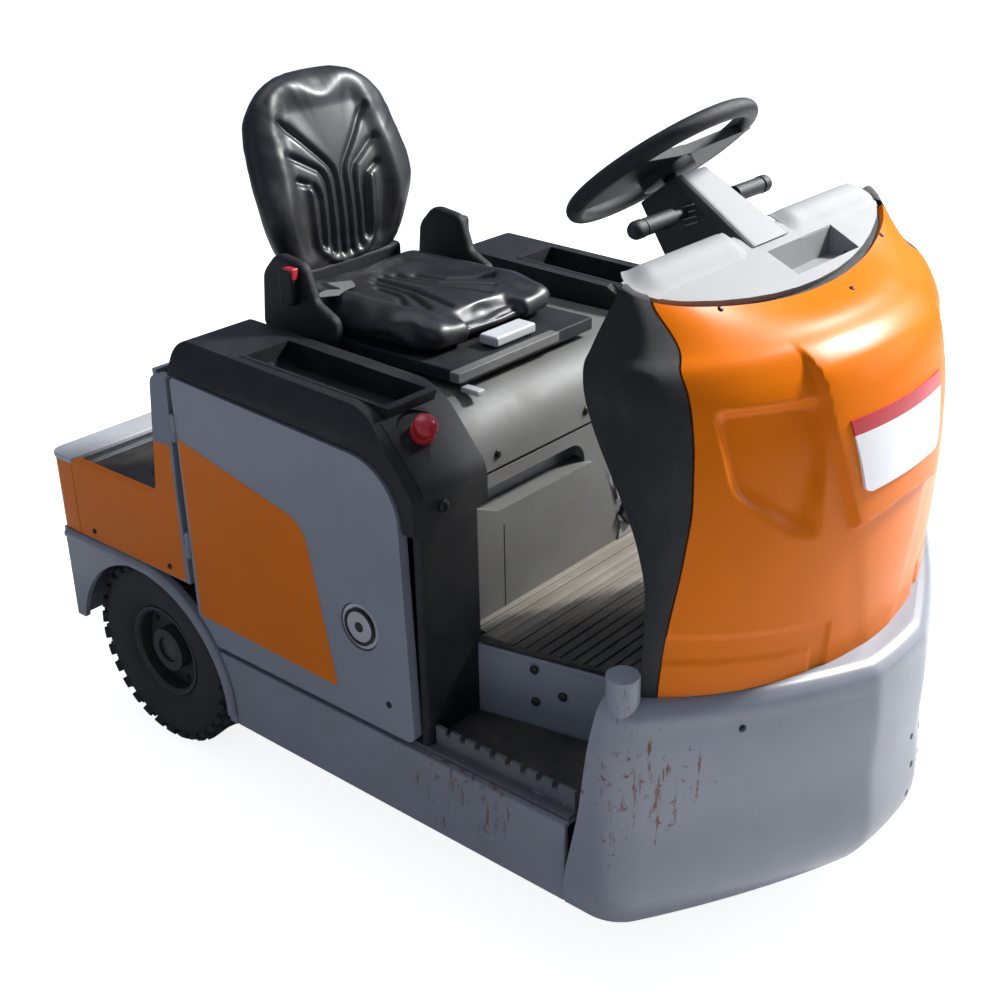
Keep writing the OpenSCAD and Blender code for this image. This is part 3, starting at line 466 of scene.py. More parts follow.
def grid_mesh(name: str, grid: np.ndarray, outward: Vector) -> bpy.types.Mesh:
    """Open mesh over a grid of points.

    Args:
        name: The mesh's name.
        grid: Points as rows, columns and coordinates.
        outward: A direction that the middle of the mesh faces.

    Returns:
        The mesh, its faces turned outward.
    """
    rows, columns = grid.shape[:2]
    faces = [(r * columns + c, r * columns + c + 1, (r + 1) * columns + c + 1, (r + 1) * columns + c)
             for r in range(rows - 1) for c in range(columns - 1)]
    mesh = bpy.data.meshes.new(name)
    mesh.from_pydata([tuple(p) for p in grid.reshape(-1, 3)], [], faces)
    if mesh.polygons[len(faces) // 2].normal.dot(outward) < 0.0:
        mesh.flip_normals()
    return mesh


def bar(name: str, outline: Sequence[tuple[float, float]], span: tuple[float, float], axis: str) -> bpy.types.Mesh:
    """Closed prism of an outline in the frame of the CAD parts.

    Args:
        name: The mesh's name.
        outline: Corners in the plane across the axis, from the rear axle where X is one of them.
        span: Lower and upper end along the axis.
        axis: The letter of the axis, x or y.

    Returns:
        The mesh.
    """
    order = {"x": lambda a, b, s: (s - AXLE_X, a, b), "y": lambda a, b, s: (a - AXLE_X, s, b)}[axis]
    count = len(outline)
    points = [order(a, b, s) for s in span for a, b in outline]
    sides = [(i, (i + 1) % count, (i + 1) % count + count, i + count) for i in range(count)]
    return mesh_of(name, points, [*sides, tuple(range(count)), tuple(range(count, 2 * count))])


def rounded(corners: Sequence[tuple[float, ...]], steps: int) -> list[tuple[float, float]]:
    """Outline whose corners (x, y, radius) are rounded."""
    made: list[tuple[float, float]] = []
    for i, spot in enumerate(corners):
        p, radius = Vector(spot[:2]), spot[2] if len(spot) > 2 else 0.0
        if radius <= 0.0:
            made.append((p.x, p.y))
            continue
        a = (Vector(corners[i - 1][:2]) - p).normalized()
        b = (Vector(corners[(i + 1) % len(corners)][:2]) - p).normalized()
        half = math.acos(max(-1.0, min(1.0, a.dot(b)))) / 2.0
        centre = p + (a + b).normalized() * radius / math.sin(half)
        first, last = p + a * radius / math.tan(half) - centre, p + b * radius / math.tan(half) - centre
        turn = math.atan2(first.x * last.y - first.y * last.x, first.dot(last))
        for k in range(steps + 1):
            v = Matrix.Rotation(turn * k / steps, 2) @ first + centre
            made.append((v.x, v.y))
    return made


def soften(piece: bpy.types.Object, width: float, segments: int = 2, angle: float = 32.0,
           least: float = 0.0) -> bpy.types.Object:
    """Rounds a piece's sharp edges, those of a least length, and smooths it."""
    if width > 0.0:
        modify(piece, "BEVEL", width=width, segments=segments, limit_method="WEIGHT" if least > 0.0 else "ANGLE",
               angle_limit=math.radians(angle), use_clamp_overlap=True, miter_outer="MITER_ARC")
        if least > 0.0:
            made = bmesh.new()
            made.from_mesh(piece.data)
            weight = made.edges.layers.float.new("bevel_weight_edge")
            for side in made.edges:
                if len(side.link_faces) == 2 and side.calc_length() > least:
                    side[weight] = float(side.calc_face_angle(0.0) > math.radians(angle))
            made.to_mesh(piece.data)
            made.free()
        bake(piece)
    shade(piece)
    return piece


def dress(node: str, look: Look, width: float, segments: int = 2, least: float = 0.0) -> None:
    """Copies a CAD node as a finished piece with softened edges, which stands for the node.

    Args:
        node: The CAD node.
        look: The finish.
        width: Width of the softened edges in metres, or 0 to leave the faces as they are.
        segments: Segments across an edge.
        least: Length over which an edge is softened, or 0 for all.
    """
    source = frame["nodes"][node]
    copy = bmesh.new()
    copy.from_mesh(source.data)
    bmesh.ops.remove_doubles(copy, verts=copy.verts, dist=2e-6)
    if width > 0.0:
        bmesh.ops.dissolve_limit(copy, angle_limit=math.radians(0.6), verts=copy.verts, edges=copy.edges)
    name = "skin_" + node
    piece = soften(link(name, plain_mesh(name, copy)), width, segments, least=least)
    slots = {p["node"]: p["material_slot"] for p in frame["record"]["subparts"]}
    wear(piece, source["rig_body"], look, slots[node], node)


@dataclass(frozen=True)
class Plane:
    """Plane across the vehicle that tilts about a line at x, z and falls towards the front."""

    z: float
    x: float = 1.2
    slope: float = 0.0

    def put(self, outline: np.ndarray, height: float | np.ndarray = 0.0) -> np.ndarray:
        """Places plan points on the plane.

        Args:
            outline: Points (x, y) in the plane.
            height: Distance over the plane.

        Returns:
            Points (x, y, z) from the rear axle.
        """
        c, s = math.cos(math.radians(self.slope)), math.sin(math.radians(self.slope))
        along = outline[:, 0] - self.x
        return np.stack([self.x + along * c + height * s, outline[:, 1], self.z - along * s + height * c], 1)


@dataclass(frozen=True)
class Bow:
    """Left half of a bowed front in plan: nose arc, soft edge, flank arc, corner arc and straight side."""

    nose: float
    turn: float
    end: float
    prow: float = 0.0
    bend: float = 0.0

    def points(self, apex: float, half: float, corner: float, back: float) -> np.ndarray:
        """Plan points from the nose to the back.

        Args:
            apex: Reach of the nose.
            half: Half width at the sides.
            corner: Radius of the corner.
            back: Where the straight side ends.

        Returns:
            Points (x, y), the same number for any size.
        """
        a1, a2 = math.radians(self.turn), math.radians(self.end)
        ab = math.radians(self.bend) if self.prow else a1
        flank = (half - self.nose * math.sin(a1) - self.prow * (math.sin(ab) - math.sin(a1))
                 - corner * (1 - math.sin(a2))) / (math.sin(a2) - math.sin(ab))
        nose_c = np.array([apex - self.nose, 0.0])
        prow_c = nose_c + (self.nose - self.prow) * np.array([math.cos(a1), math.sin(a1)])
        flank_c = prow_c + (self.prow - flank) * np.array([math.cos(ab), math.sin(ab)])
        corner_c = flank_c + (flank - corner) * np.array([math.cos(a2), math.sin(a2)])
        made = []
        arcs = [(nose_c, self.nose, 0.0, a1, 20 if self.prow else 40), (flank_c, flank, ab, a2, 20),
                (corner_c, corner, a2, math.pi / 2, 20)]
        if self.prow:
            arcs.insert(1, (prow_c, self.prow, a1, ab, 20))
        for centre, radius, first, last, count in arcs:
            t = np.linspace(first, last, count, endpoint=False)
            made.append(centre + radius * np.stack([np.cos(t), np.sin(t)], 1))
        side = np.linspace(corner_c[0], min(back, corner_c[0] - 0.01), 12)
        made.append(np.stack([side, np.full(12, half)], 1))
        return np.concatenate(made)


def loft(slices: Sequence[np.ndarray], counts: Sequence[int]) -> np.ndarray:
    """Smooth surface through slices of matching points.

    Args:
        slices: Points of each slice from the lowest up.
        counts: Number of rows between each two slices.

    Returns:
        Rows of points.
    """
    c = np.stack(slices)
    h = [float(np.mean(np.linalg.norm(c[i + 1] - c[i], axis=1))) for i in range(len(c) - 1)]
    slope = [(c[i + 1] - c[i]) / h[i] for i in range(len(h))]
    tangent = [slope[0]]
    for i in range(1, len(h)):
        tangent.append((slope[i - 1] * h[i] + slope[i] * h[i - 1]) / (h[i] + h[i - 1]))
    tangent.append(slope[-1])
    rows = []
    for i, count in enumerate(counts):
        for t in np.linspace(0.0, 1.0, count, endpoint=i == len(counts) - 1):
            rows.append((2 * t**3 - 3 * t**2 + 1) * c[i] + (t**3 - 2 * t**2 + t) * h[i] * tangent[i]
                        + (3 * t**2 - 2 * t**3) * c[i + 1] + (t**3 - t**2) * h[i] * tangent[i + 1])
    return np.stack(rows)


def lengths(row: np.ndarray) -> np.ndarray:
    """Length along a row of points up to each of them."""
    return np.concatenate([[0.0], np.cumsum(np.linalg.norm(np.diff(row, axis=0), axis=1))])


def spread(row: np.ndarray, spots: np.ndarray) -> np.ndarray:
    """Points at given lengths along a row."""
    run = lengths(row)
    return np.stack([np.interp(spots, run, row[:, k]) for k in range(3)], 1)


def trim(rows: np.ndarray, first: Callable | None, last: Callable | None, columns: int) -> np.ndarray:
    """Cuts each row between two limits on x over z and spreads its points evenly.

    Args:
        rows: Rows of points from the nose to the back.
        first: Limit at the front, or None for the nose.
        last: Limit at the back, or None for the row's end.
        columns: Points in each new row.

    Returns:
        The new rows.
    """
    made = []
    for row in rows:
        run = lengths(row)

        def reach(limit: Callable | None, default: float) -> float:
            """Length along the row at which it passes behind a limit."""
            if limit is None:
                return default
            over = row[:, 0] - limit(row[:, 2])
            behind = np.nonzero(over < 0.0)[0]
            if len(behind) == 0:
                return float(run[-1])
            k = int(behind[0])
            if k == 0:
                return 0.0
            t = over[k - 1] / (over[k - 1] - over[k])
            return float(run[k - 1] + t * (run[k] - run[k - 1]))

        made.append(spread(row, np.linspace(reach(first, 0.0), reach(last, float(run[-1])), columns)))
    return np.stack(made)


def curve(heights: Sequence[float], values: Sequence[float], reach: float) -> Callable[[np.ndarray], np.ndarray]:
    """Smooth line through values at rising heights.

    Args:
        heights: Where the values are known.
        values: The values there.
        reach: Length over which corners are rounded.

    Returns:
        A function from heights to values.
    """
    fine = np.linspace(heights[0] - reach, heights[-1] + reach, 800)
    plain = np.interp(fine, heights, values)
    width = max(3, int(reach / (fine[1] - fine[0])) | 1)
    weight = np.hanning(width + 2)[1:-1]
    padded = np.pad(plain, width // 2, mode="edge")
    soft = np.convolve(padded, weight / weight.sum(), mode="valid")
    return lambda z: np.interp(z, fine, soft)


def sided(points: np.ndarray, side: float) -> np.ndarray:
    """Points as they are for side 1, or mirrored across the vehicle for side -1."""
    return points * np.array([1.0, side, 1.0])


def mirrored(half: np.ndarray) -> np.ndarray:
    """Rows across both sides from rows that start at the middle."""
    return np.concatenate([sided(half, -1.0)[:, :0:-1], half], 1)


def normals_of(grid: np.ndarray) -> np.ndarray:
    """Unit normals of a grid's points, all on the same side of it."""
    normal = np.cross(np.gradient(grid, axis=0), np.gradient(grid, axis=1))
    return normal / np.maximum(np.linalg.norm(normal, axis=2, keepdims=True), 1e-12)


def swell(grid: np.ndarray, amount: np.ndarray, outward: Sequence[float]) -> np.ndarray:
    """Moves a grid's points along its normals.

    Args:
        grid: Rows of points.
        amount: Distance for each point.
        outward: A direction on the outer side at the middle of the grid.

    Returns:
        The moved rows.
    """
    normal = normals_of(grid)
    middle = normal[grid.shape[0] // 2, grid.shape[1] // 2]
    side = 1.0 if float(np.dot(middle, np.array(outward))) > 0.0 else -1.0
    return grid + side * normal * amount[:, :, None]


SHARPNESS = 150.0


def inside(y: np.ndarray, z: np.ndarray, corners: Sequence[tuple[float, float]]) -> np.ndarray:
    """Distance inside a convex outline with rounded corners, negative outside."""
    spots = np.array(corners)
    area = float(np.sum(spots[:, 0] * np.roll(spots[:, 1], -1) - np.roll(spots[:, 0], -1) * spots[:, 1]))
    total = np.zeros(y.shape)
    for (ay, az), (by, bz) in zip(corners, [*corners[1:], corners[0]], strict=True):
        length = math.hypot(by - ay, bz - az)
        gap = ((by - ay) * (z - az) - (bz - az) * (y - ay)) / length * math.copysign(1.0, area)
        total += np.exp(np.clip(-SHARPNESS * gap, -60.0, 60.0))
    return -np.log(total) / SHARPNESS


def shell(name: str, grid: np.ndarray, outward: Sequence[float], thickness: float, edge: float) -> bpy.types.Object:
    """Sheet of a given thickness under a grid of points from the rear axle."""
    moved = grid - np.array([AXLE_X, 0.0, 0.0])
    piece = link(name, grid_mesh(name, moved, Vector(outward)))
    modify(piece, "SOLIDIFY", thickness=thickness, offset=-1.0)
    return soften(bake(piece), edge, 2, 50.0)


def lathe(name: str, profile: Sequence[tuple[float, float]], centre: Vector, steps: int) -> bpy.types.Mesh:
    """Closed ring turned about an axis across the vehicle.

    Args:
        name: The mesh's name.
        profile: Closed outline as radius and place along the axis.
        centre: A point of the axis.
        steps: Number of steps round the axis.

    Returns:
        The mesh.
    """
    n, points, faces = len(profile), [], []
    for k in range(steps):
        a, after = 2.0 * math.pi * k / steps, (k + 1) % steps * n
        points += [centre + Vector((r * math.cos(a), y, r * math.sin(a))) for r, y in profile]
        faces += [(k * n + i, k * n + (i + 1) % n, after + (i + 1) % n, after + i) for i in range(n)]
    return mesh_of(name, points, faces)


LEDGE = Plane(0.585, slope=10.0)
CROWN = Plane(1.142, slope=25.0)


@dataclass
class Cowl:
    """Painted front cowl with its black sides, seam strips, a black strip of painted shade in the dash gap, crest and
    blank plate.
    """

    bow: Bow = field(default_factory=lambda: Bow(0.700, 24.0, 42.0))
    foot: float = 1.378
    foot_half: float = 0.456
    wall: float = 0.010
    side_wall: float = 0.030
    shield: float = 0.014
    pocket: float = 0.014
    strip_depth: float = 0.0070
    strip_reach: float = 0.010
    seam: float = 0.001
    plate_y: float = -0.012
    plate_low: float = 0.860
    plate_corner: float = 0.014
    joint_z: tuple[float, ...] = (0.55, 0.607, 0.69, 0.794, 0.888, 0.974, 1.05, 1.09, 1.12, 1.18)
    joint_x: tuple[float, ...] = (1.226, 1.228, 1.236, 1.250, 1.256, 1.250, 1.236, 1.212, 1.184, 1.13)
    rear_z: tuple[float, ...] = (0.55, 0.70, 0.78, 0.85, 0.92, 0.985, 1.04, 1.083, 1.11, 1.14, 1.17, 1.22)
    rear_x: tuple[float, ...] = (1.205, 1.211, 1.209, 1.190, 1.150, 1.110, 1.086, 1.076, 1.080, 1.09, 1.102, 1.12)

    def rows(self) -> np.ndarray:
        """Smooth surface of the left half from the foot to the crown."""
        back = 1.04
        sizes = ((LEDGE, self.foot, self.foot_half, 0.080), (Plane(0.85), self.foot + 0.006, 0.440, 0.080),
                 (Plane(0.98), self.foot - 0.010, 0.432, 0.078), (Plane(1.058), self.foot - 0.034, 0.424, 0.076),
                 (Plane(1.086), self.foot - 0.054, 0.416, 0.073), (Plane(1.103), self.foot - 0.080, 0.403, 0.070),
                 (CROWN, 1.235, 0.372, 0.060))
        return loft([p.put(self.bow.points(a, h, c, back)) for p, a, h, c in sizes], (52, 28, 20, 10, 10, 16))

    def forms(self, grid: np.ndarray) -> np.ndarray:
        """Height of the moulded shield, lamp pockets and lower panels over the plain surface."""
        y, z = np.abs(grid[:, :, 1]), grid[:, :, 2]
        width = curve((0.54, 0.835, 0.960, 1.10), (0.054, 0.142, 0.180, 0.192), 0.06)(z)
        fade = 1.0 - smooth(z, 1.045, 1.100)
        pad = smooth(np.minimum(width - y, z - 0.812 + 0.10 * y), -0.004, 0.006) * fade * self.shield
        prow = smooth(width - y, -0.02, 0.03) * 0.002 * fade
        pocket = inside(y, z, ((0.356, 1.036), (0.180, 1.022), (0.190, 0.795), (0.262, 0.815), (0.345, 0.905)))
        upper = smooth(z, 0.850, 0.920)
        sunk = -self.pocket * (upper * smooth(pocket, 0.0, 0.016) + (1.0 - upper) * smooth(pocket, 0.0, 0.040))
        line = 0.690 - (0.44 - y) * 0.18
        panel = np.minimum(line - z, y - 0.150)
        edge = smooth(panel, -0.003, 0.004) * -0.004
        inner = np.minimum(line - 0.045 - z, y - 0.185)
        return pad + prow + sunk + edge + smooth(inner, -0.003, 0.003) * 0.003

    def build(self) -> np.ndarray:
        """Builds the painted cowl, its sides and the plate.

        Returns:
            The painted surface.
        """
        rows = self.rows()
        joint = curve(self.joint_z, self.joint_x, 0.10)
        rear = curve(self.rear_z, self.rear_x, 0.09)
        front = mirrored(trim(rows, None, lambda z: joint(z) + self.seam, 118))
        front = swell(front, self.forms(front), (1.0, 0.0, 0.0))
        wear(shell("cowl_front_skin", front, (1, 0, 0), self.wall, 0.0012), "chassis", Look.ORANGE, "orange_paint",
             "cowl_front")
        side = trim(rows, lambda z: joint(z) - self.seam, rear, 36)
        way = np.gradient(side[-1], axis=0)
        inward = np.stack([-way[:, 1], way[:, 0]], 1) / np.linalg.norm(way[:, :2], axis=1, keepdims=True)
        inward *= np.where(inward[:, 1:] > 0.0, -1.0, 1.0)
        roll = [side[-1] + np.column_stack([inward * d, np.full(len(way), h)])
                for d, h in ((0.002, 0.0035), (0.007, 0.0060), (0.014, 0.0065), (0.023, 0.0040))]
        side = np.concatenate([side, np.stack(roll)])
        left = shell("cowl_side_left", side, (0, 1, 0), self.side_wall, 0.003)
        wear(left, "chassis", Look.SIDE, "black_plastic", "cowl_sides")
        right = shell("cowl_side_right", sided(side, -1.0), (0, -1, 0), self.side_wall, 0.003)
        wear(right, "chassis", Look.SIDE, "black_plastic")
        strip = trim(rows, lambda z: joint(z) + self.strip_reach, lambda z: joint(z) - self.strip_reach, 8)
        strip = swell(strip, np.full(strip.shape[:2], -self.strip_depth), (0.0, 1.0, 0.0))
        for word, turn in (("left", 1.0), ("right", -1.0)):
            backing = shell("cowl_seam_" + word, sided(strip, turn), (0, turn, 0), 0.001, 0.0)
            wear(backing, "chassis", Look.BLACK, "black_plastic")
        self.plate(front)
        # A black strip that lines the gap round the dash, as painted shade in the gap.
        ring = [CROWN.put(self.bow.points(a, h, 0.060, 1.13), z)
                for a, h, z in ((1.232, 0.369, -0.010), (1.216, 0.353, -0.012), (1.200, 0.337, -0.020))]
        gap_shade = shell("dash_gap_painted_shade", mirrored(np.stack(ring)), (0, 0, 1), 0.003, 0.0)
        wear(gap_shade, "chassis", Look.BLACK, "black_plastic")
        self.crest()
        return front

    def crest(self) -> None:
        """Adds the rounded crest along the dashboard's rear edge, on both sides of the column."""
        rise = ((1.067, -0.010), (1.069, 0.002), (1.074, 0.009), (1.084, 0.013), (1.097, 0.0135), (1.110, 0.010),
                (1.124, 0.004), (1.138, -0.001))
        along = np.linspace(0.0, 1.0, 48)
        ends = smooth(1.0 - along, 0.0, 0.18) * smooth(along, -0.035, 0.12)
        for side, word in SIDES:
            rows = []
            for x, h in rise:
                reach = 0.350 - 0.020 * ((x - 1.100) / 0.035) ** 2
                y = side * (0.068 + (reach - 0.068) * along)
                rows.append(CROWN.put(np.stack([np.full(48, x), y], 1), h * ends))
            grid = loft(rows, [4] * (len(rows) - 1))
            wear(shell("dash_crest_" + word, grid, (0, 0, 1), 0.002, 0.0), "chassis", Look.DASH_PAINTED_SUNLIGHT, "dark_plastic")

    def plate(self, front: np.ndarray) -> None:
        """Lays a blank white plate with a red band on the shield.

        Args:
            front: The cowl's surface.
        """
        spots = front.reshape(-1, 3)
        near = spots[(np.abs(spots[:, 1]) < 0.20) & (spots[:, 2] > 0.80) & (spots[:, 2] < 1.03)]
        terms = lambda y, z: np.stack([np.ones_like(y), y, z, y * y, y * z, z * z, y**4, y * y * z, z**3], -1)
        inner = near[np.abs(near[:, 1]) < 0.15 * (near[:, 2] - 0.25) + 0.03]
        fit = np.linalg.lstsq(terms(inner[:, 1], inner[:, 2]), inner[:, 0], rcond=None)[0]
        for name, look, slot, low, high in (("blank_plate", Look.WHITE, "pale_grey", self.plate_low, 0.957),
                                            ("plate_band", Look.RED, "red_plastic", 0.957, 0.981)):
            z = np.repeat(np.linspace(low, high, 25)[:, None], 49, axis=1)
            half = np.interp(z, (0.86, 0.98), (0.114, 0.140))
            corner = np.clip(1.0 - (z - self.plate_low) / self.plate_corner, 0.0, 1.0)
            half = half - self.plate_corner * (1.0 - np.sqrt(1.0 - corner**2))
            y = half * np.linspace(-1.0, 1.0, 49)[None, :] + self.plate_y
            x = terms(y, z) @ fit + 0.0035
            wear(shell(name, np.stack([x, y, z], 2), (1, 0, 0), 0.006, 0.0), "chassis", look, slot)


@dataclass
class Bumper:
    """Bowed steel bumper with its end plates and posts."""

    bow: Bow = field(default_factory=lambda: Bow(0.80, 5.2, 33.6, 0.070, 21.5))
    inner: Bow = field(default_factory=lambda: Bow(0.700, 24.0, 42.0))
    nose: float = 1.440
    half: float = 0.498
    low: float = 0.155
    lean: float = 0.072
    wall: float = 0.012
    rear: float = 1.096
    height: float = 0.43
    post_radius: float = 0.027
    post_height: float = 0.095

    def build(self) -> np.ndarray:
        """Builds the bumper's skin, plates and posts.

        Returns:
            The bumper's surface.
        """
        back = 1.08
        sizes = ((Plane(self.low), 0.0, -0.032, -0.014, 0.080), (Plane(self.low + 0.017), 0.0, -0.020, -0.006, 0.080),
                 (Plane(0.36), 0.0, -0.008, -0.003, 0.080), (LEDGE, -0.048, 0.004, 0.0, 0.080),
                 (LEDGE, -0.014, -0.006, -0.008, 0.078), (LEDGE, -0.003, -0.020, -0.020, 0.074),
                 (LEDGE, 0.0, -0.034, -0.034, 0.070))
        slices = [p.put(self.bow.points(self.nose + a, self.half + h, c, back), z) for p, z, a, h, c in sizes]
        rows = loft(slices, (6, 24, 24, 8, 6, 6))
        foot = LEDGE.put(self.inner.points(1.366, 0.444, 0.070, back))
        ledge = [rows[-1] + (foot - rows[-1]) * t for t in np.linspace(0.0, 1.0, 9)[1:]]
        rows = np.concatenate([rows, np.stack(ledge)])
        rear = lambda z: self.rear + self.lean * np.clip((z - self.low) / self.height, 0.0, 1.05)
        grid = mirrored(trim(rows, None, rear, 84))
        skin = shell("bumper_skin", grid, (1, 0, 0), self.wall, 0.002)
        wear(skin, "chassis", Look.BUMPER, "grey_paint", "front_bumper")
        for side, word in SIDES:
            outline = [(1.098, 0.175), (1.108, 0.175), (1.174, 0.560), (1.164, 0.560)]
            mesh = bar("plate", outline, tuple(sorted((side * 0.484, side * 0.272))), "y")
            wear(soften(link("bumper_plate_" + word, mesh), 0.002), "chassis", Look.GREY, "grey_paint")
            post = bmesh.new()
            bmesh.ops.create_cone(post, cap_ends=True, segments=48, radius1=self.post_radius,
                                  radius2=self.post_radius, depth=self.post_height)
            bmesh.ops.translate(post, verts=post.verts, vec=at(1.190, side * 0.462, 0.5795))
            piece = link("bumper_post_" + word, plain_mesh("post", post))
            wear(soften(piece, 0.004, 3), "chassis", Look.BUMPER, "grey_paint")
        return grid


@dataclass
class Doors:
    """Side doors with their orange areas and round latches."""

    outer: float = 0.485
    area: tuple[tuple[float, ...], ...] = ((0.190, 0.379), (0.574, 0.369, 0.006), (0.513, 0.678, 0.060),
                                           (0.182, 0.752))
    latch: Point = (0.641, 0.0, 0.517)
    latch_depth: float = 0.0018
    paint: tuple[float, float] = (-0.002, 0.0006)

    def build(self) -> None:
        """Builds both doors."""
        for side, word in SIDES:
            dress("door_" + word, Look.GREY, 0.010, 4)
            dress("latch_" + word, Look.BRIGHT, 0.002, 3)
            face = tuple(sorted(side * (self.outer + d) for d in self.paint))
            mesh = bar("area", rounded(self.area, 8), face, "y")
            wear(link("door_area_" + word, mesh), "door_" + word, Look.ORANGE, "orange_paint")
            ends = [side * (self.outer + d) for d in (-self.latch_depth, self.latch_depth)]
            for part, inner, outer in (("ring", 0.0305, 0.036), ("slot", 0.0, 0.010)):
                mesh = self.disc(inner, outer, *ends)
                wear(soften(link(f"latch_{part}_{word}", mesh), 0.0006), "door_" + word, Look.SCREW, "dark_plastic")

    def disc(self, inner: float, outer: float, y0: float, y1: float) -> bpy.types.Mesh:
        """Disc or ring about the latch's axis between two Y positions."""
        hole = max(inner, 1e-4)
        return lathe("disc", [(outer, y0), (outer, y1), (hole, y1), (hole, y0)], at(*self.latch), 48)


@dataclass
class Slopes:
    """Front slopes of the side covers, with the stop button's dish in the right one."""

    centre: Point = (0.734, -0.393, 0.889)
    axis: Point = (0.597, -0.242, 0.765)
    radius: float = 0.042
    floor: float = -0.0270
    rim: float = 0.006
    deepest: float = 0.030
    proud: float = 0.0012
    probe_y: float = 0.462
    span_y: tuple[float, float] = (-0.455, -0.2985)
    span_z: tuple[float, float] = (0.792, 0.9025)

    def surface(self) -> np.ndarray:
        """Surface of the right slope, whose profile is read from the left cover's outer part."""
        cover = frame["nodes"]["cover_left"]
        rows = []
        for z in np.linspace(*self.span_z, 80):
            _, spot, _, _ = cover.ray_cast(at(1.2, self.probe_y, z), Vector((-1.0, 0.0, 0.0)))
            rows.append([(spot.x + AXLE_X, y, z) for y in np.linspace(*self.span_y, 96)])
        return np.array(rows)

    def build(self) -> None:
        """Lays both skins."""
        plain = self.surface()
        axis = np.array(self.axis) / np.linalg.norm(self.axis)
        way = plain - np.array(self.centre)
        height = way @ axis
        far = np.linalg.norm(way - height[:, :, None] * axis, axis=2)
        sunk = (np.minimum(height, self.floor) - height) * (1.0 - smooth(far, self.radius, self.radius + self.rim))
        dished = plain + np.maximum(sunk, -self.deepest)[:, :, None] * axis
        for word, grid, turn in (("stop_dish", dished, 1.0), ("cover_slope_left", plain, -1.0)):
            skin = sided(grid + self.proud * np.array([0.7, 0.0, 0.7]), turn)
            wear(shell(word, skin, (1, 0, 0.5), 0.001, 0.0), "chassis", Look.BLACK, "black_plastic")


@dataclass
class Footwell:
    """Seam and bracket on the calf plate, and slits in the column's sides."""

    slits: int = 4
    slit: Point = (0.026, 0.003, 0.0018)
    slit_turn: float = -22.0

    def build(self) -> None:
        """Builds the small pieces."""
        seam = [(-0.2228, 0.470), (-0.2208, 0.470), (-0.2208, 0.648), (-0.2228, 0.648)]
        tab = [(0.098, 0.630), (0.152, 0.612), (0.178, 0.578), (0.152, 0.558), (0.116, 0.572)]
        wedge = [(0.122, 0.536), (0.148, 0.580), (0.192, 0.562), (0.186, 0.522), (0.150, 0.504)]
        foot = [(0.120, 0.484), (0.176, 0.484), (0.186, 0.516), (0.150, 0.508), (0.128, 0.520)]
        for name, outline, span, look, slot in (
                ("calf_seam", seam, (0.7508, 0.7526), Look.SCREW, "dark_plastic"),
                ("calf_tab", tab, (0.7505, 0.7565), Look.DASH_PAINTED_SUNLIGHT, "pale_grey"),
                ("calf_wedge", wedge, (0.7505, 0.7625), Look.BLACK, "black_plastic"),
                ("calf_foot", foot, (0.7505, 0.7555), Look.DASH_PAINTED_SUNLIGHT, "pale_grey")):
            wear(soften(link(name, bar(name, outline, span, "x")), 0.0006), "chassis", look, slot)
        for side, word in SIDES:
            made = bmesh.new()
            turn = Matrix.Rotation(math.radians(self.slit_turn), 4, "Y") @ Matrix.Diagonal((*self.slit, 1.0))
            for k in range(self.slits):
                spot = Matrix.Translation(at(1.006 + 0.003 * k, side * 0.0552, 1.226 - 0.009 * k))
                bmesh.ops.create_cube(made, size=1.0, matrix=spot @ turn)
            piece = link("column_slits_" + word, plain_mesh("slits", made))
            wear(soften(piece, 0.0003), "chassis", Look.DASH_PAINTED_SUNLIGHT, "dark_plastic")


TreeParts = tuple[Graph, bpy.types.bpy_prop_collection, bpy.types.NodeSocket]


def geometry_tree(name: str, inputs: dict[str, str]) -> TreeParts:
    """Starts a geometry tree.

    Args:
        name: The tree's name.
        inputs: Names of its inputs with their kinds of socket.

    Returns:
        The tree's graph, its inputs as seen from inside, and its output.
    """
    tree = bpy.data.node_groups.new(name, "GeometryNodeTree")
    for key, kind in inputs.items():
        tree.interface.new_socket(key, in_out="INPUT", socket_type="NodeSocket" + kind)
    tree.interface.new_socket("Geometry", in_out="OUTPUT", socket_type="NodeSocketGeometry")
    g = Graph(tree)
    return g, g.add("NodeGroupInput").outputs, g.add("NodeGroupOutput").inputs["Geometry"]


@dataclass(frozen=True)
class Stud:
    """Place, direction, radius and flattening of one fastener, given from the rear axle."""

    spot: Point
    aim: Point
    radius: float
    squash: float = 1.0


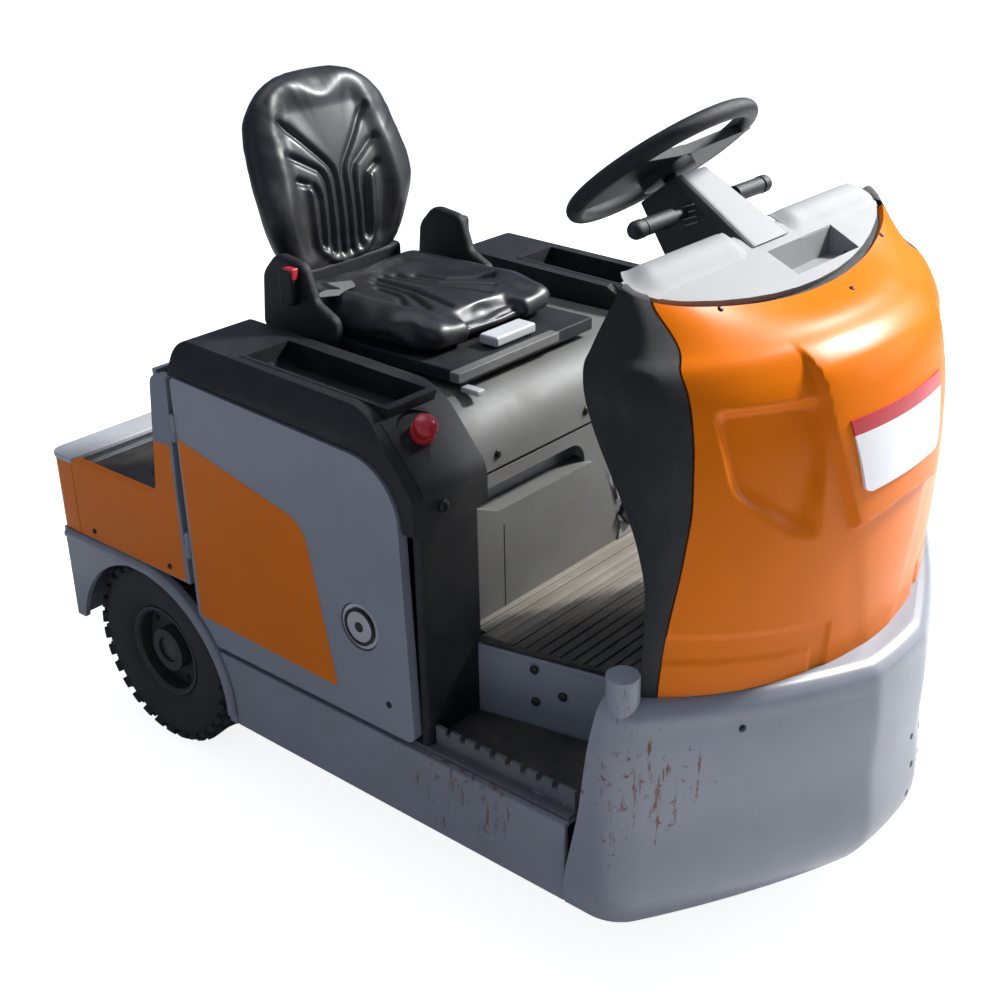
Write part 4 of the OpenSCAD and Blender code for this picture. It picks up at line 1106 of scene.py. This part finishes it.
@dataclass
class Fasteners:
    """Screws and bolts on the painted panels, the hood and the riser."""

    def tree(self) -> bpy.types.NodeTree:
        """Geometry tree that sets a domed head on every point along its own direction."""
        g, enter, leave = geometry_tree("fasteners", {"Geometry": "Geometry", "Flatness": "Float",
                                                      "Material": "Material"})
        dome = g.add("GeometryNodeMeshUVSphere", {"Segments": 18, "Rings": 10, "Radius": 1.0}).outputs["Mesh"]
        press = g.add("GeometryNodeTransform", {"Geometry": dome, "Scale": g.vector(1.0, 1.0, enter["Flatness"])})
        hole = g.add("GeometryNodeMeshCylinder", {"Vertices": 6, "Radius": 0.42, "Depth": 0.12}).outputs["Mesh"]
        lift = g.add("GeometryNodeTransform", {"Geometry": hole, "Translation": g.vector(z=enter["Flatness"])})
        head = g.add("GeometryNodeJoinGeometry", {"Geometry": press.outputs["Geometry"]})
        g.feed(head.inputs["Geometry"], lift.outputs["Geometry"])
        aim, size = (g.add("GeometryNodeInputNamedAttribute", {"Name": key}, data_type="FLOAT_VECTOR")
                     for key in ("aim", "size"))
        turn = g.add("FunctionNodeAlignRotationToVector", {"Vector": aim.outputs["Attribute"]}, axis="Z")
        sit = g.add("GeometryNodeInstanceOnPoints", {
            "Points": enter["Geometry"], "Instance": head.outputs["Geometry"],
            "Rotation": turn.outputs["Rotation"], "Scale": size.outputs["Attribute"]})
        g.feed(leave, g.realise(sit.outputs["Instances"], enter["Material"]))
        return g.tree

    def put(self, name: str, body: str, studs: Sequence[Stud], flatness: float, tree: bpy.types.NodeTree) -> None:
        """Sets a group of fasteners on one body.

        Args:
            name: The piece's name.
            body: The CAD body.
            studs: The fasteners.
            flatness: Height of a head as a share of its radius.
            tree: The tree that makes the heads.
        """
        mesh = bpy.data.meshes.new(name)
        mesh.from_pydata([at(*s.spot) for s in studs], [], [])
        aim = mesh.attributes.new("aim", "FLOAT_VECTOR", "POINT")
        aim.data.foreach_set("vector", [v for s in studs for v in s.aim])
        size = mesh.attributes.new("size", "FLOAT_VECTOR", "POINT")
        size.data.foreach_set("vector", [s.radius * k for s in studs for k in (1.0, 1.0, s.squash)])
        piece = grow(link(name, mesh), tree, Flatness=flatness, Material=Look.SCREW.value.material())
        shade(piece, 40.0, False)
        wear(piece, body, Look.SCREW, "dark_steel")

    @staticmethod
    def on(grid: np.ndarray, spots: Sequence[Point], radius: float, squash: float = 1.0) -> list[Stud]:
        """Fasteners at the points of a surface that lie nearest to some places."""
        normal = normals_of(grid)
        made = []
        for spot in spots:
            k = np.unravel_index(int(np.argmin(np.linalg.norm(grid - np.array(spot), axis=2))), grid.shape[:2])
            way = normal[k] * math.copysign(1.0, float(normal[k] @ np.array([1.0, 0.0, 0.6])))
            made.append(Stud(tuple(grid[k]), tuple(way), radius, squash))
        return made

    def build(self, cowl: np.ndarray, bumper: np.ndarray) -> None:
        """Sets all fasteners.

        Args:
            cowl: The painted surface of the cowl.
            bumper: The surface of the bumper.
        """
        tree = self.tree()
        ahead = (1.0, 0.0, 0.0)
        panel = [Stud((x, s * 0.486, z), (0.0, s, 0.0), 0.006) for s in SIGNS
                 for x, z in ((0.087, 0.658), (-0.143, 0.459), (0.105, 0.459))]
        post = [Stud((0.783, s * 0.408, 0.765), ahead, 0.011) for s in SIGNS]
        riser = [Stud((x, s * y, z), (0.18, s * 0.98, 0.0), 0.0085) for s in SIGNS
                 for x, y, z in ((0.896, 0.317, 0.447), (0.898, 0.3165, 0.382), (0.950, 0.3055, 0.407))]
        clamp = [Stud((0.969, s * 0.0592, 1.122), (0.0, s, 0.0), 0.006) for s in SIGNS]
        crown = self.on(cowl, [(1.185, s * 0.244, 1.130) for s in SIGNS] + [(1.262, 0.029, 1.118)], 0.005)
        bolts = self.on(bumper, [(1.346, s * 0.340, 0.512) for s in SIGNS], 0.0065)
        rows = [(1.43, y, z) for y, heights in ((0.058, (0.339, 0.279, 0.226)), (0.138, (0.370, 0.315, 0.263)))
                for z in heights]
        plugs = self.on(bumper, rows, 0.0065, 0.24)
        studs = [*panel, *post, *riser, *clamp, *crown, *bolts, *plugs]
        self.put("panel_screws", "chassis", studs, 0.5, tree)
        studs = [Stud((0.7425, y, 0.783), ahead, 0.0085) for y in (-0.223, 0.029, 0.223)]
        self.put("hood_screws", "hood", studs, 0.5, tree)
        for side, word in SIDES:
            stud = Stud((0.704, side * 0.4855, 0.382), (0.0, side, 0.0), 0.0065)
            self.put("door_screw_" + word, "door_" + word, [stud], 0.45, tree)


@dataclass
class Wheels:
    """Tyres with block tread and their rims."""

    radius: float = 0.2075
    track: float = 0.409
    lugs: int = 30
    steps: int = 96

    def tree(self) -> bpy.types.NodeTree:
        """Geometry tree that sets two staggered rows of tread blocks round a tyre."""
        g, enter, leave = geometry_tree("tread_blocks", {
            "Count": "Int", "Radius": "Float", "Centre": "Vector", "Block": "Vector", "Offset": "Float",
            "Tilt": "Float", "Material": "Material"})
        join = g.add("GeometryNodeJoinGeometry")
        for side in SIGNS:
            ring = g.add("GeometryNodeMeshCircle", {"Vertices": enter["Count"], "Radius": enter["Radius"]})
            cube = g.add("GeometryNodeMeshCube", {"Size": enter["Block"]}).outputs["Mesh"]
            turn = g.vector(y=g.math("MULTIPLY", enter["Tilt"], side))
            lean = g.add("GeometryNodeTransform", {"Geometry": cube, "Rotation": turn})
            spot = g.add("GeometryNodeInputPosition").outputs[0]
            aim = g.add("FunctionNodeAlignRotationToVector", {"Vector": spot}, axis="X")
            sit = g.add("GeometryNodeInstanceOnPoints", {
                "Points": ring.outputs["Mesh"], "Instance": lean.outputs["Geometry"],
                "Rotation": aim.outputs["Rotation"]})
            pitch = g.math("DIVIDE", math.pi if side > 0 else 0.0, enter["Count"])
            shift = g.add("GeometryNodeTransform", {
                "Geometry": sit.outputs["Instances"], "Rotation": g.vector(z=pitch),
                "Translation": g.vector(z=g.math("MULTIPLY", enter["Offset"], side))})
            g.feed(join.inputs["Geometry"], shift.outputs["Geometry"])
        stand = g.add("GeometryNodeTransform", {
            "Geometry": join.outputs["Geometry"], "Rotation": (math.pi / 2, 0.0, 0.0),
            "Translation": enter["Centre"]})
        g.feed(leave, g.realise(stand.outputs["Geometry"], enter["Material"]))
        return g.tree

    def carcass(self, centre: Vector) -> bpy.types.Mesh:
        """Tyre body under the tread, turned about the wheel's axis.

        Args:
            centre: The wheel's centre.

        Returns:
            The mesh.
        """
        half = [(0.1015, 0.040), (0.108, 0.0425), (0.112, 0.047), (0.120, 0.0505), (0.133, 0.0525), (0.150, 0.0535),
                (0.164, 0.0535), (0.168, 0.0525), (0.172, 0.0535), (0.184, 0.0515), (0.192, 0.046), (0.1985, 0.036),
                (0.2005, 0.018), (0.201, 0.0)]
        profile = [(r, -y) for r, y in half] + [(r, y) for r, y in half[-2::-1]] + [(0.0985, 0.036), (0.0985, -0.036)]
        return lathe("tyre", profile, centre, self.steps)

    def blocks(self, name: str, body: str, centre: Vector, tree: bpy.types.NodeTree) -> None:
        """Sets crown and shoulder blocks on one tyre.

        Args:
            name: Start of the pieces' names.
            body: The CAD body.
            centre: The wheel's centre.
            tree: The tree that makes the blocks.
        """
        rows = (("crown", 0.1995, (0.015, 0.026, 0.040), 0.0235, 0.10),
                ("shoulder", 0.1885, (0.013, 0.024, 0.026), 0.0455, 0.62))
        for part, radius, block, offset, tilt in rows:
            piece = link(f"{name}_{part}", bpy.data.meshes.new(part))
            grow(piece, tree, Count=self.lugs, Radius=radius, Centre=tuple(centre), Block=block, Offset=offset,
                 Tilt=tilt, Material=Look.TYRE.value.material())
            soften(piece, 0.002, 2)
            wear(piece, body, Look.TYRE, "tyre_rubber")

    def build(self) -> None:
        """Builds the three wheels."""
        tree = self.tree()
        places = (("rear_tyre_right", "rear_rim_right", "rear_wheel_right", at(0.0, -self.track, self.radius)),
                  ("rear_tyre_left", "rear_rim_left", "rear_wheel_left", at(0.0, self.track, self.radius)),
                  ("front_tyre", "front_rim", "front_wheel", at(1.12, 0.0, self.radius)))
        for tyre, rim, body, centre in places:
            piece = link(tyre + "_skin", self.carcass(centre))
            shade(piece, 40.0)
            wear(piece, body, Look.TYRE, "tyre_rubber", tyre)
            self.blocks(tyre, body, centre, tree)
            dress(rim, Look.RIM, 0.0015)


@dataclass(frozen=True)
class Groove:
    """Sewn channel or raised rim on a pad, drawn as a line in two coordinates."""

    line: tuple[tuple[float, float], ...]
    depth: float
    width: float

    def height(self, a: np.ndarray, b: np.ndarray) -> np.ndarray:
        """Height of the channel at points (a, b).

        Args:
            a: First coordinates.
            b: Second coordinates.

        Returns:
            Negative heights along a channel, positive ones along a rim.
        """
        far = np.full(a.shape, 1e9)
        for (a0, b0), (a1, b1) in zip(self.line, self.line[1:], strict=False):
            long = (a1 - a0) ** 2 + (b1 - b0) ** 2
            t = np.clip(((a - a0) * (a1 - a0) + (b - b0) * (b1 - b0)) / long, 0.0, 1.0)
            far = np.minimum(far, np.hypot(a - a0 - t * (a1 - a0), b - b0 - t * (b1 - b0)))
        return -self.depth * np.exp(-((far / self.width) ** 2))


CLOTH: dict[str, float] = {
    "quality": 4, "mass": 0.3, "tension_stiffness": 25.0, "compression_stiffness": 25.0, "shear_stiffness": 8.0,
    "bending_stiffness": 10.0, "use_pressure": True, "uniform_pressure_force": 4.0,
}


@dataclass
class Seat:
    """Padded seat with its wings, belt parts and adjusting levers."""

    middle: float = -0.040
    voxel: float = 0.0055
    frames: int = 18
    back_z: float = 1.165
    widening: float = 0.055
    near_edge: float = 0.20
    sectors: int = 144
    evening: int = 34
    back_hollow: float = 0.016
    cushion_hollow: float = 0.014
    notch: float = 0.020
    sewn: tuple[float, float] = (-0.010, 0.006)

    def stuffed(self, node: str, shrink: float, cap: float, rounds: int,
                held: Callable[[np.ndarray], np.ndarray]) -> bpy.types.Object:
        """Blows up a copy of a CAD pad like a stuffed cover.

        Args:
            node: The CAD node.
            shrink: How far the cover starts inside the CAD form.
            cap: Longest way that a point may move.
            rounds: Rounds of smoothing before it swells.
            held: Tells which points, given from the rear axle, stay in place.

        Returns:
            The pad.
        """
        mesh = frame["nodes"][node].data.copy()
        piece = link("pad_" + node, mesh)
        modify(piece, "REMESH", mode="VOXEL", voxel_size=self.voxel)
        modify(piece, "SMOOTH", factor=0.5, iterations=rounds)
        bake(piece)
        self.move(piece, -shrink)
        rest = self.points(piece)
        pinned = piece.vertex_groups.new(name="held")
        pinned.add([int(i) for i in np.nonzero(held(rest + np.array([AXLE_X, 0.0, 0.0])))[0]], 1.0, "REPLACE")
        cloth = modify(piece, "CLOTH")
        for key, value in CLOTH.items():
            setattr(cloth.settings, key, value)
        cloth.settings.vertex_group_mass = "held"
        cloth.settings.effector_weights.gravity = 0.0
        cloth.point_cache.frame_start = 1
        cloth.point_cache.frame_end = self.frames
        scene = bpy.context.scene
        for step in range(1, self.frames + 1):
            scene.frame_set(step)
        bake(piece)
        scene.frame_set(1)
        piece.vertex_groups.clear()
        way = self.points(piece) - rest
        length = np.linalg.norm(way, axis=1, keepdims=True)
        log.info("%s swells by up to %.1f mm", node, 1000.0 * float(length.max()))
        self.place(piece, rest + way * np.minimum(1.0, cap / np.maximum(length, 1e-9)))
        modify(piece, "SMOOTH", iterations=self.evening)
        return bake(piece)

    @staticmethod
    def points(piece: bpy.types.Object) -> np.ndarray:
        """Coordinates of a piece's vertices."""
        flat = np.empty(len(piece.data.vertices) * 3)
        piece.data.vertices.foreach_get("co", flat)
        return flat.reshape(-1, 3)

    @staticmethod
    def place(piece: bpy.types.Object, points: np.ndarray) -> None:
        """Sets the coordinates of a piece's vertices."""
        piece.data.vertices.foreach_set("co", points.ravel())
        piece.data.update()

    @staticmethod
    def normals(piece: bpy.types.Object) -> np.ndarray:
        """Normals of a piece's vertices."""
        flat = np.empty(len(piece.data.vertices) * 3)
        piece.data.vertex_normals.foreach_get("vector", flat)
        return flat.reshape(-1, 3)

    def move(self, piece: bpy.types.Object, amount: float | np.ndarray) -> None:
        """Moves a piece's vertices along their normals."""
        self.place(piece, self.points(piece) + self.normals(piece) * np.reshape(amount, (-1, 1)))

    def local(self, piece: bpy.types.Object) -> np.ndarray:
        """Coordinates of a piece's vertices from the rear axle and the seat's middle."""
        return self.points(piece) - np.array([-AXLE_X, self.middle, 0.0])

    def sew(self, piece: bpy.types.Object, grooves: Sequence[Groove], axes: tuple[int, int], aim: int,
            least: float) -> None:
        """Divides a pad's faces and presses channels into one side of it.

        Args:
            piece: The pad.
            grooves: The channels.
            axes: Numbers of the two axes in which the channels are drawn.
            aim: Number of the axis along which that side faces.
            least: Twice the share of the normal at which the channels begin.
        """
        modify(piece, "SUBSURF", levels=1, render_levels=1)
        modify(piece, "SMOOTH", iterations=2)
        spots = self.local(bake(piece))
        faces = np.clip(self.normals(piece)[:, aim] * 2.0 - least, 0.0, 1.0)
        sewn = sum(g.height(spots[:, axes[0]], spots[:, axes[1]]) for g in grooves)
        self.move(piece, np.clip(sewn, *self.sewn) * faces)
        shade(piece, 180.0, False)

    def rounder(self, piece: bpy.types.Object) -> None:
        """Rounds the backrest's outline as seen from the front and widens it a little."""
        spots = self.points(piece)
        y, z = spots[:, 1] - self.middle, spots[:, 2] - self.back_z
        turn, far = np.arctan2(z, y), np.hypot(y, z)
        bins = np.linspace(-math.pi, math.pi, self.sectors + 1)
        which = np.digitize(turn, bins) - 1
        edge = np.array([far[which == k].max() for k in range(self.sectors)])
        weight = np.hanning(21)
        even = np.convolve(np.tile(edge, 3), weight / weight.sum(), mode="same")[self.sectors:2 * self.sectors]
        middles = (bins[:-1] + bins[1:]) / 2.0
        ratio = np.interp(turn, middles, even / edge, period=2.0 * math.pi)
        y, z = y * ratio, z * ratio
        wide = 1.0 + self.widening * smooth(z, -0.09, 0.02)
        y = (y + self.near_edge) * wide - self.near_edge
        self.place(piece, np.stack([spots[:, 0], y + self.middle, z + self.back_z], 1))

    def grooves_of_back(self) -> list[Groove]:
        """Channels of the backrest: upright below, spreading in a V above, with a rim round their foot."""
        made = []
        for side in SIGNS:
            for y, low, bend, tip in ((0.012, 1.012, 1.182, (0.108, 1.275)), (0.036, 1.018, 1.172, (0.112, 1.216)),
                                      (0.059, 1.034, 1.146, (0.104, 1.168))):
                knee = [(side * y, low), (side * y, bend - 0.02), (side * (y + 0.004), bend - 0.006),
                        (side * (y + 0.012), bend + 0.006), (side * tip[0], tip[1])]
                made.append(Groove(tuple(knee), 0.0075, 0.0068))
        turn = np.linspace(-math.pi, 0.0, 15)
        foot = [(0.076 * math.cos(a), 1.058 + 0.060 * math.sin(a)) for a in turn]
        made.append(Groove(((-0.080, 1.15), *foot, (0.080, 1.15)), -0.0058, 0.0090))
        return made

    def grooves_of_cushion(self) -> list[Groove]:
        """Channels of the cushion, which fan out towards the front."""
        made = []
        for side in SIGNS:
            for x, y, tip in ((0.285, 0.010, (0.520, 0.052)), (0.300, 0.030, (0.500, 0.090)),
                              (0.330, 0.052, (0.470, 0.120))):
                line = ((x, side * y), (0.40, side * (y + 0.012)), (tip[0], side * tip[1]))
                made.append(Groove(line, 0.0085, 0.0075))
        return made

    def backrest(self) -> None:
        """Builds the backrest with its side bolsters and channels."""
        piece = self.stuffed("seat_back", 0.003, 0.012, 60, lambda p: p[:, 0] < 0.090 + 0.20 * (1.36 - p[:, 2]))
        self.rounder(piece)
        _, y, z = self.local(piece).T
        ahead = np.clip(self.normals(piece)[:, 0] * 1.6 - 0.3, 0.0, 1.0)
        middle = np.interp(z, (1.0, 1.12, 1.25, 1.33), (0.105, 0.128, 0.118, 0.095))
        hollow = -self.back_hollow * smooth(middle - np.abs(y), -0.022, 0.022)
        hollow = hollow * smooth(z, 0.985, 1.04) * (1.0 - smooth(z, 1.29, 1.345))
        self.move(piece, hollow * ahead)
        self.sew(piece, self.grooves_of_back(), (1, 2), 0, 0.4)
        wear(piece, "hood", Look.VINYL, "seat_vinyl", "seat_back")

    def cushion(self) -> None:
        """Builds the cushion with its bolsters, channels and front notch."""
        piece = self.stuffed("seat_cushion", 0.005, 0.012, 14, lambda p: p[:, 2] < 0.926)
        x, y, _ = self.local(piece).T
        normals = self.normals(piece)
        above = np.clip(normals[:, 2] * 1.6 - 0.3, 0.0, 1.0)
        middle = np.interp(x, (0.22, 0.40, 0.58), (0.105, 0.128, 0.120))
        hollow = -self.cushion_hollow * smooth(middle - np.abs(y), -0.022, 0.022) * smooth(x, 0.215, 0.26)
        notch = -self.notch * smooth(0.074 - np.abs(y), -0.010, 0.012) * smooth(x, 0.535, 0.575)
        notch = notch * np.clip(normals[:, 0] * 1.5, 0.0, 1.0)
        self.move(piece, hollow * above * (1.0 - smooth(x, 0.55, 0.60)) + notch)
        self.sew(piece, self.grooves_of_cushion(), (0, 1), 2, 0.6)
        wear(piece, "hood", Look.VINYL, "seat_vinyl", "seat_cushion")

    def block(self, name: str, low: Point, high: Point, look: Look, slot: str, edge: float, *nodes: str) -> None:
        """Adds a rounded block between two corners given from the rear axle."""
        outline = [(low[0], low[2]), (high[0], low[2]), (high[0], high[2]), (low[0], high[2])]
        mesh = bar(name, outline, (low[1], high[1]), "y")
        wear(soften(link(name, mesh), edge, 4), "hood", look, slot, *nodes)

    def strap(self, name: str, line: Sequence[Point], width: float, across: Point) -> None:
        """Lays a flat strap of webbing along a line given from the rear axle.

        Args:
            name: The piece's name.
            line: Points of its middle.
            width: Its width.
            across: Direction across it.
        """
        run = np.array(line)
        path = spread(run, np.linspace(0.0, lengths(run)[-1], 28))
        for _ in range(4):
            path[1:-1] = (path[:-2] + path[1:-1] * 2.0 + path[2:]) / 4.0
        side = np.array(across) * width / 2.0
        grid = np.stack([path + side * t for t in np.linspace(-1.0, 1.0, 7)], 1)
        piece = shell(name, grid, (0.2, 0.0, 1.0), 0.0016, 0.0)
        wear(piece, "hood", Look.WEBBING, "pale_grey")

    def build(self) -> None:
        """Builds the whole seat."""
        self.backrest()
        self.cushion()
        dress("seat_wings", Look.BLACK, 0.011, 4)
        dress("seat_base", Look.BLACK, 0.003)
        m = self.middle
        self.block("buckle_case", (0.270, m - 0.246, 0.981), (0.308, m - 0.227, 1.048), Look.BLACK, "black_plastic",
                   0.005, "belt_parts")
        self.block("buckle_button", (0.284, m - 0.244, 1.030), (0.3095, m - 0.229, 1.051), Look.RED, "red_plastic",
                   0.002)
        self.block("belt_reel", (0.220, m + 0.2265, 0.945), (0.300, m + 0.254, 1.045), Look.BLACK, "black_plastic",
                   0.008)
        self.strap("belt_near", ((0.335, m - 0.190, 0.992), (0.315, m - 0.150, 0.990), (0.300, m - 0.110, 0.984),
                                 (0.262, m - 0.085, 0.981)), 0.046, (0.55, 0.83, 0.0))
        self.block("lever_bar", (0.652, m - 0.204, 0.903), (0.674, m + 0.076, 0.921), Look.DARK, "pale_grey", 0.002)
        self.block("lever_handle", (0.596, m - 0.062, 0.9205), (0.640, m + 0.050, 0.940), Look.PALE, "pale_grey",
                   0.005)
        self.block("back_hinge", (0.158, m - 0.150, 0.925), (0.204, m + 0.150, 1.000), Look.BLACK, "black_plastic",
                   0.010)
        self.block("hood_clip", (0.664, m - 0.190, 0.8815), (0.705, m - 0.170, 0.892), Look.PALE, "pale_grey", 0.003)


@dataclass
class Stage:
    """Camera, floor and soft studio light."""

    eye: Point = (1.754, -2.003, 1.823)
    azimuth: float = 41.04
    elevation: float = 25.557
    roll: float = 1.243
    lens: float = 53.2
    sensor: float = 36.0
    extent: float = 30.0

    def camera(self) -> None:
        """Sets the camera at the photograph's place and angle."""
        a, e, r = (math.radians(v) for v in (self.azimuth, self.elevation, self.roll))
        ahead = Vector((-math.sin(a) * math.cos(e), math.cos(a) * math.cos(e), -math.sin(e)))
        right = Vector((math.cos(a), math.sin(a), 0.0))
        down = ahead.cross(right)
        right, down = right * math.cos(r) + down * math.sin(r), down * math.cos(r) - right * math.sin(r)
        data = bpy.data.cameras.new("camera")
        data.lens = self.lens
        data.sensor_width = self.sensor
        data.clip_start = 0.05
        made = link("camera", data)
        turn = Matrix((right, -down, -ahead)).transposed()
        made.matrix_world = Matrix.Translation(Vector(self.eye)) @ turn.to_4x4()
        bpy.context.scene.camera = made

    def lights(self) -> None:
        """Adds the soft lamps."""
        for name, place, aim, size, power in (("key", (1.9, 3.5, 4.0), (0.2, 0.0, 0.7), 0.8, 520.0),
                                              ("glow", (3.4, 3.6, 1.9), (-0.3, 0.0, 0.9), 2.2, 36.0),
                                              ("fill", (0.6, -4.4, 2.4), (0.0, 0.0, 0.6), 3.0, 10.0),
                                              ("top", (-0.8, 0.2, 4.2), (0.0, 0.0, 0.6), 2.4, 24.0)):
            data = bpy.data.lights.new(name, "AREA")
            data.energy = power
            data.size = size
            lamp = link(name, data)
            lamp.location = place
            lamp.rotation_euler = (Vector(aim) - Vector(place)).to_track_quat("-Z", "Y").to_euler()

    def floor(self) -> None:
        """Lays the pale floor."""
        mesh = bpy.data.meshes.new("floor")
        e = self.extent
        mesh.from_pydata([(-e, -e, 0), (e, -e, 0), (e, e, 0), (-e, e, 0)], [], [(0, 1, 2, 3)])
        piece = link("floor", mesh)
        made = bpy.data.materials.new("floor")
        made.use_nodes = True
        g = Graph(made.node_tree)
        shader = made.node_tree.nodes["Principled BSDF"]
        spot = g.add("ShaderNodeTexCoord").outputs["Object"]
        seen = g.add("ShaderNodeLightPath").outputs["Is Camera Ray"]
        g.fill(shader, {"Base Color": g.mix(g.noise(spot, 2.0), (0.80, 0.80, 0.80), (0.84, 0.84, 0.84)),
                        "Roughness": 0.7, "Specular IOR Level": 0.1, "Emission Color": (1.0, 1.0, 1.0, 1.0),
                        "Emission Strength": g.math("MULTIPLY", seen, 0.86)})
        mesh.materials.append(made)

    def world(self) -> None:
        """Sets a white backdrop for the camera and soft light for the rest."""
        made = bpy.data.worlds.new("world")
        bpy.context.scene.world = made
        made.use_nodes = True
        g = Graph(made.node_tree)
        back = made.node_tree.nodes["Background"]
        seen = g.add("ShaderNodeLightPath").outputs["Is Camera Ray"]
        g.fill(back, {"Color": g.mix(seen, (0.175, 0.205, 0.275), (1.0, 1.0, 1.0)), "Strength": 1.0})

    def build(self) -> None:
        """Builds the whole stage."""
        self.camera()
        self.lights()
        self.floor()
        self.world()
        bpy.context.scene.view_settings.view_transform = "Standard"


PLAIN: dict[str, tuple[Look, float]] = {
    "chassis_frame": (Look.GREY, 0.0015), "side_skirts": (Look.SKIRT, 0.004), "rear_fenders": (Look.GREY, 0.0015),
    "tail_panel": (Look.ORANGE, 0.002), "deck_rim": (Look.PALE, 0.003), "rear_deck": (Look.GREY, 0.001),
    "rear_side_panels": (Look.PANEL, 0.005), "bulkhead": (Look.GREY, 0.002), "cover_right": (Look.BLACK, 0.008),
    "cover_left": (Look.BLACK, 0.008), "stop_button": (Look.RED, 0.002), "pillar_panels": (Look.BLACK, 0.004),
    "calf_panel": (Look.DARK, 0.004), "floor_plate": (Look.GREY, 0.002), "rubber_mats": (Look.MAT, 0.0),
    "entry_steps": (Look.TREAD, 0.001), "dashboard": (Look.DASH_PAINTED_SUNLIGHT, 0.006), "leg_shield": (Look.BLACK, 0.002),
    "pedals": (Look.MAT, 0.002), "battery": (Look.STEEL, 0.003), "rear_axle": (Look.STEEL, 0.003),
    "tow_coupling": (Look.STEEL, 0.002), "tow_pin": (Look.BRIGHT, 0.001), "hood": (Look.DARK, 0.003),
    "front_fork": (Look.STEEL, 0.003), "steering_wheel": (Look.BLACK, 0.002),
}


def main() -> None:
    """Builds every sub-assembly."""
    logging.basicConfig(level=logging.INFO, format="%(name)s: %(message)s")
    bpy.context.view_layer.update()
    Stage().build()
    cowl, bumper = Cowl().build(), Bumper().build()
    Doors().build()
    Wheels().build()
    Seat().build()
    Fasteners().build(cowl, bumper)
    Footwell().build()
    Slopes().build()
    dress("steering_column", Look.COLUMN_PAINTED_LIGHT_AND_SHADE, 0.015, 5, 0.012)
    for node, (look, width) in PLAIN.items():
        dress(node, look, width)


if __name__ == "__main__":
    main()
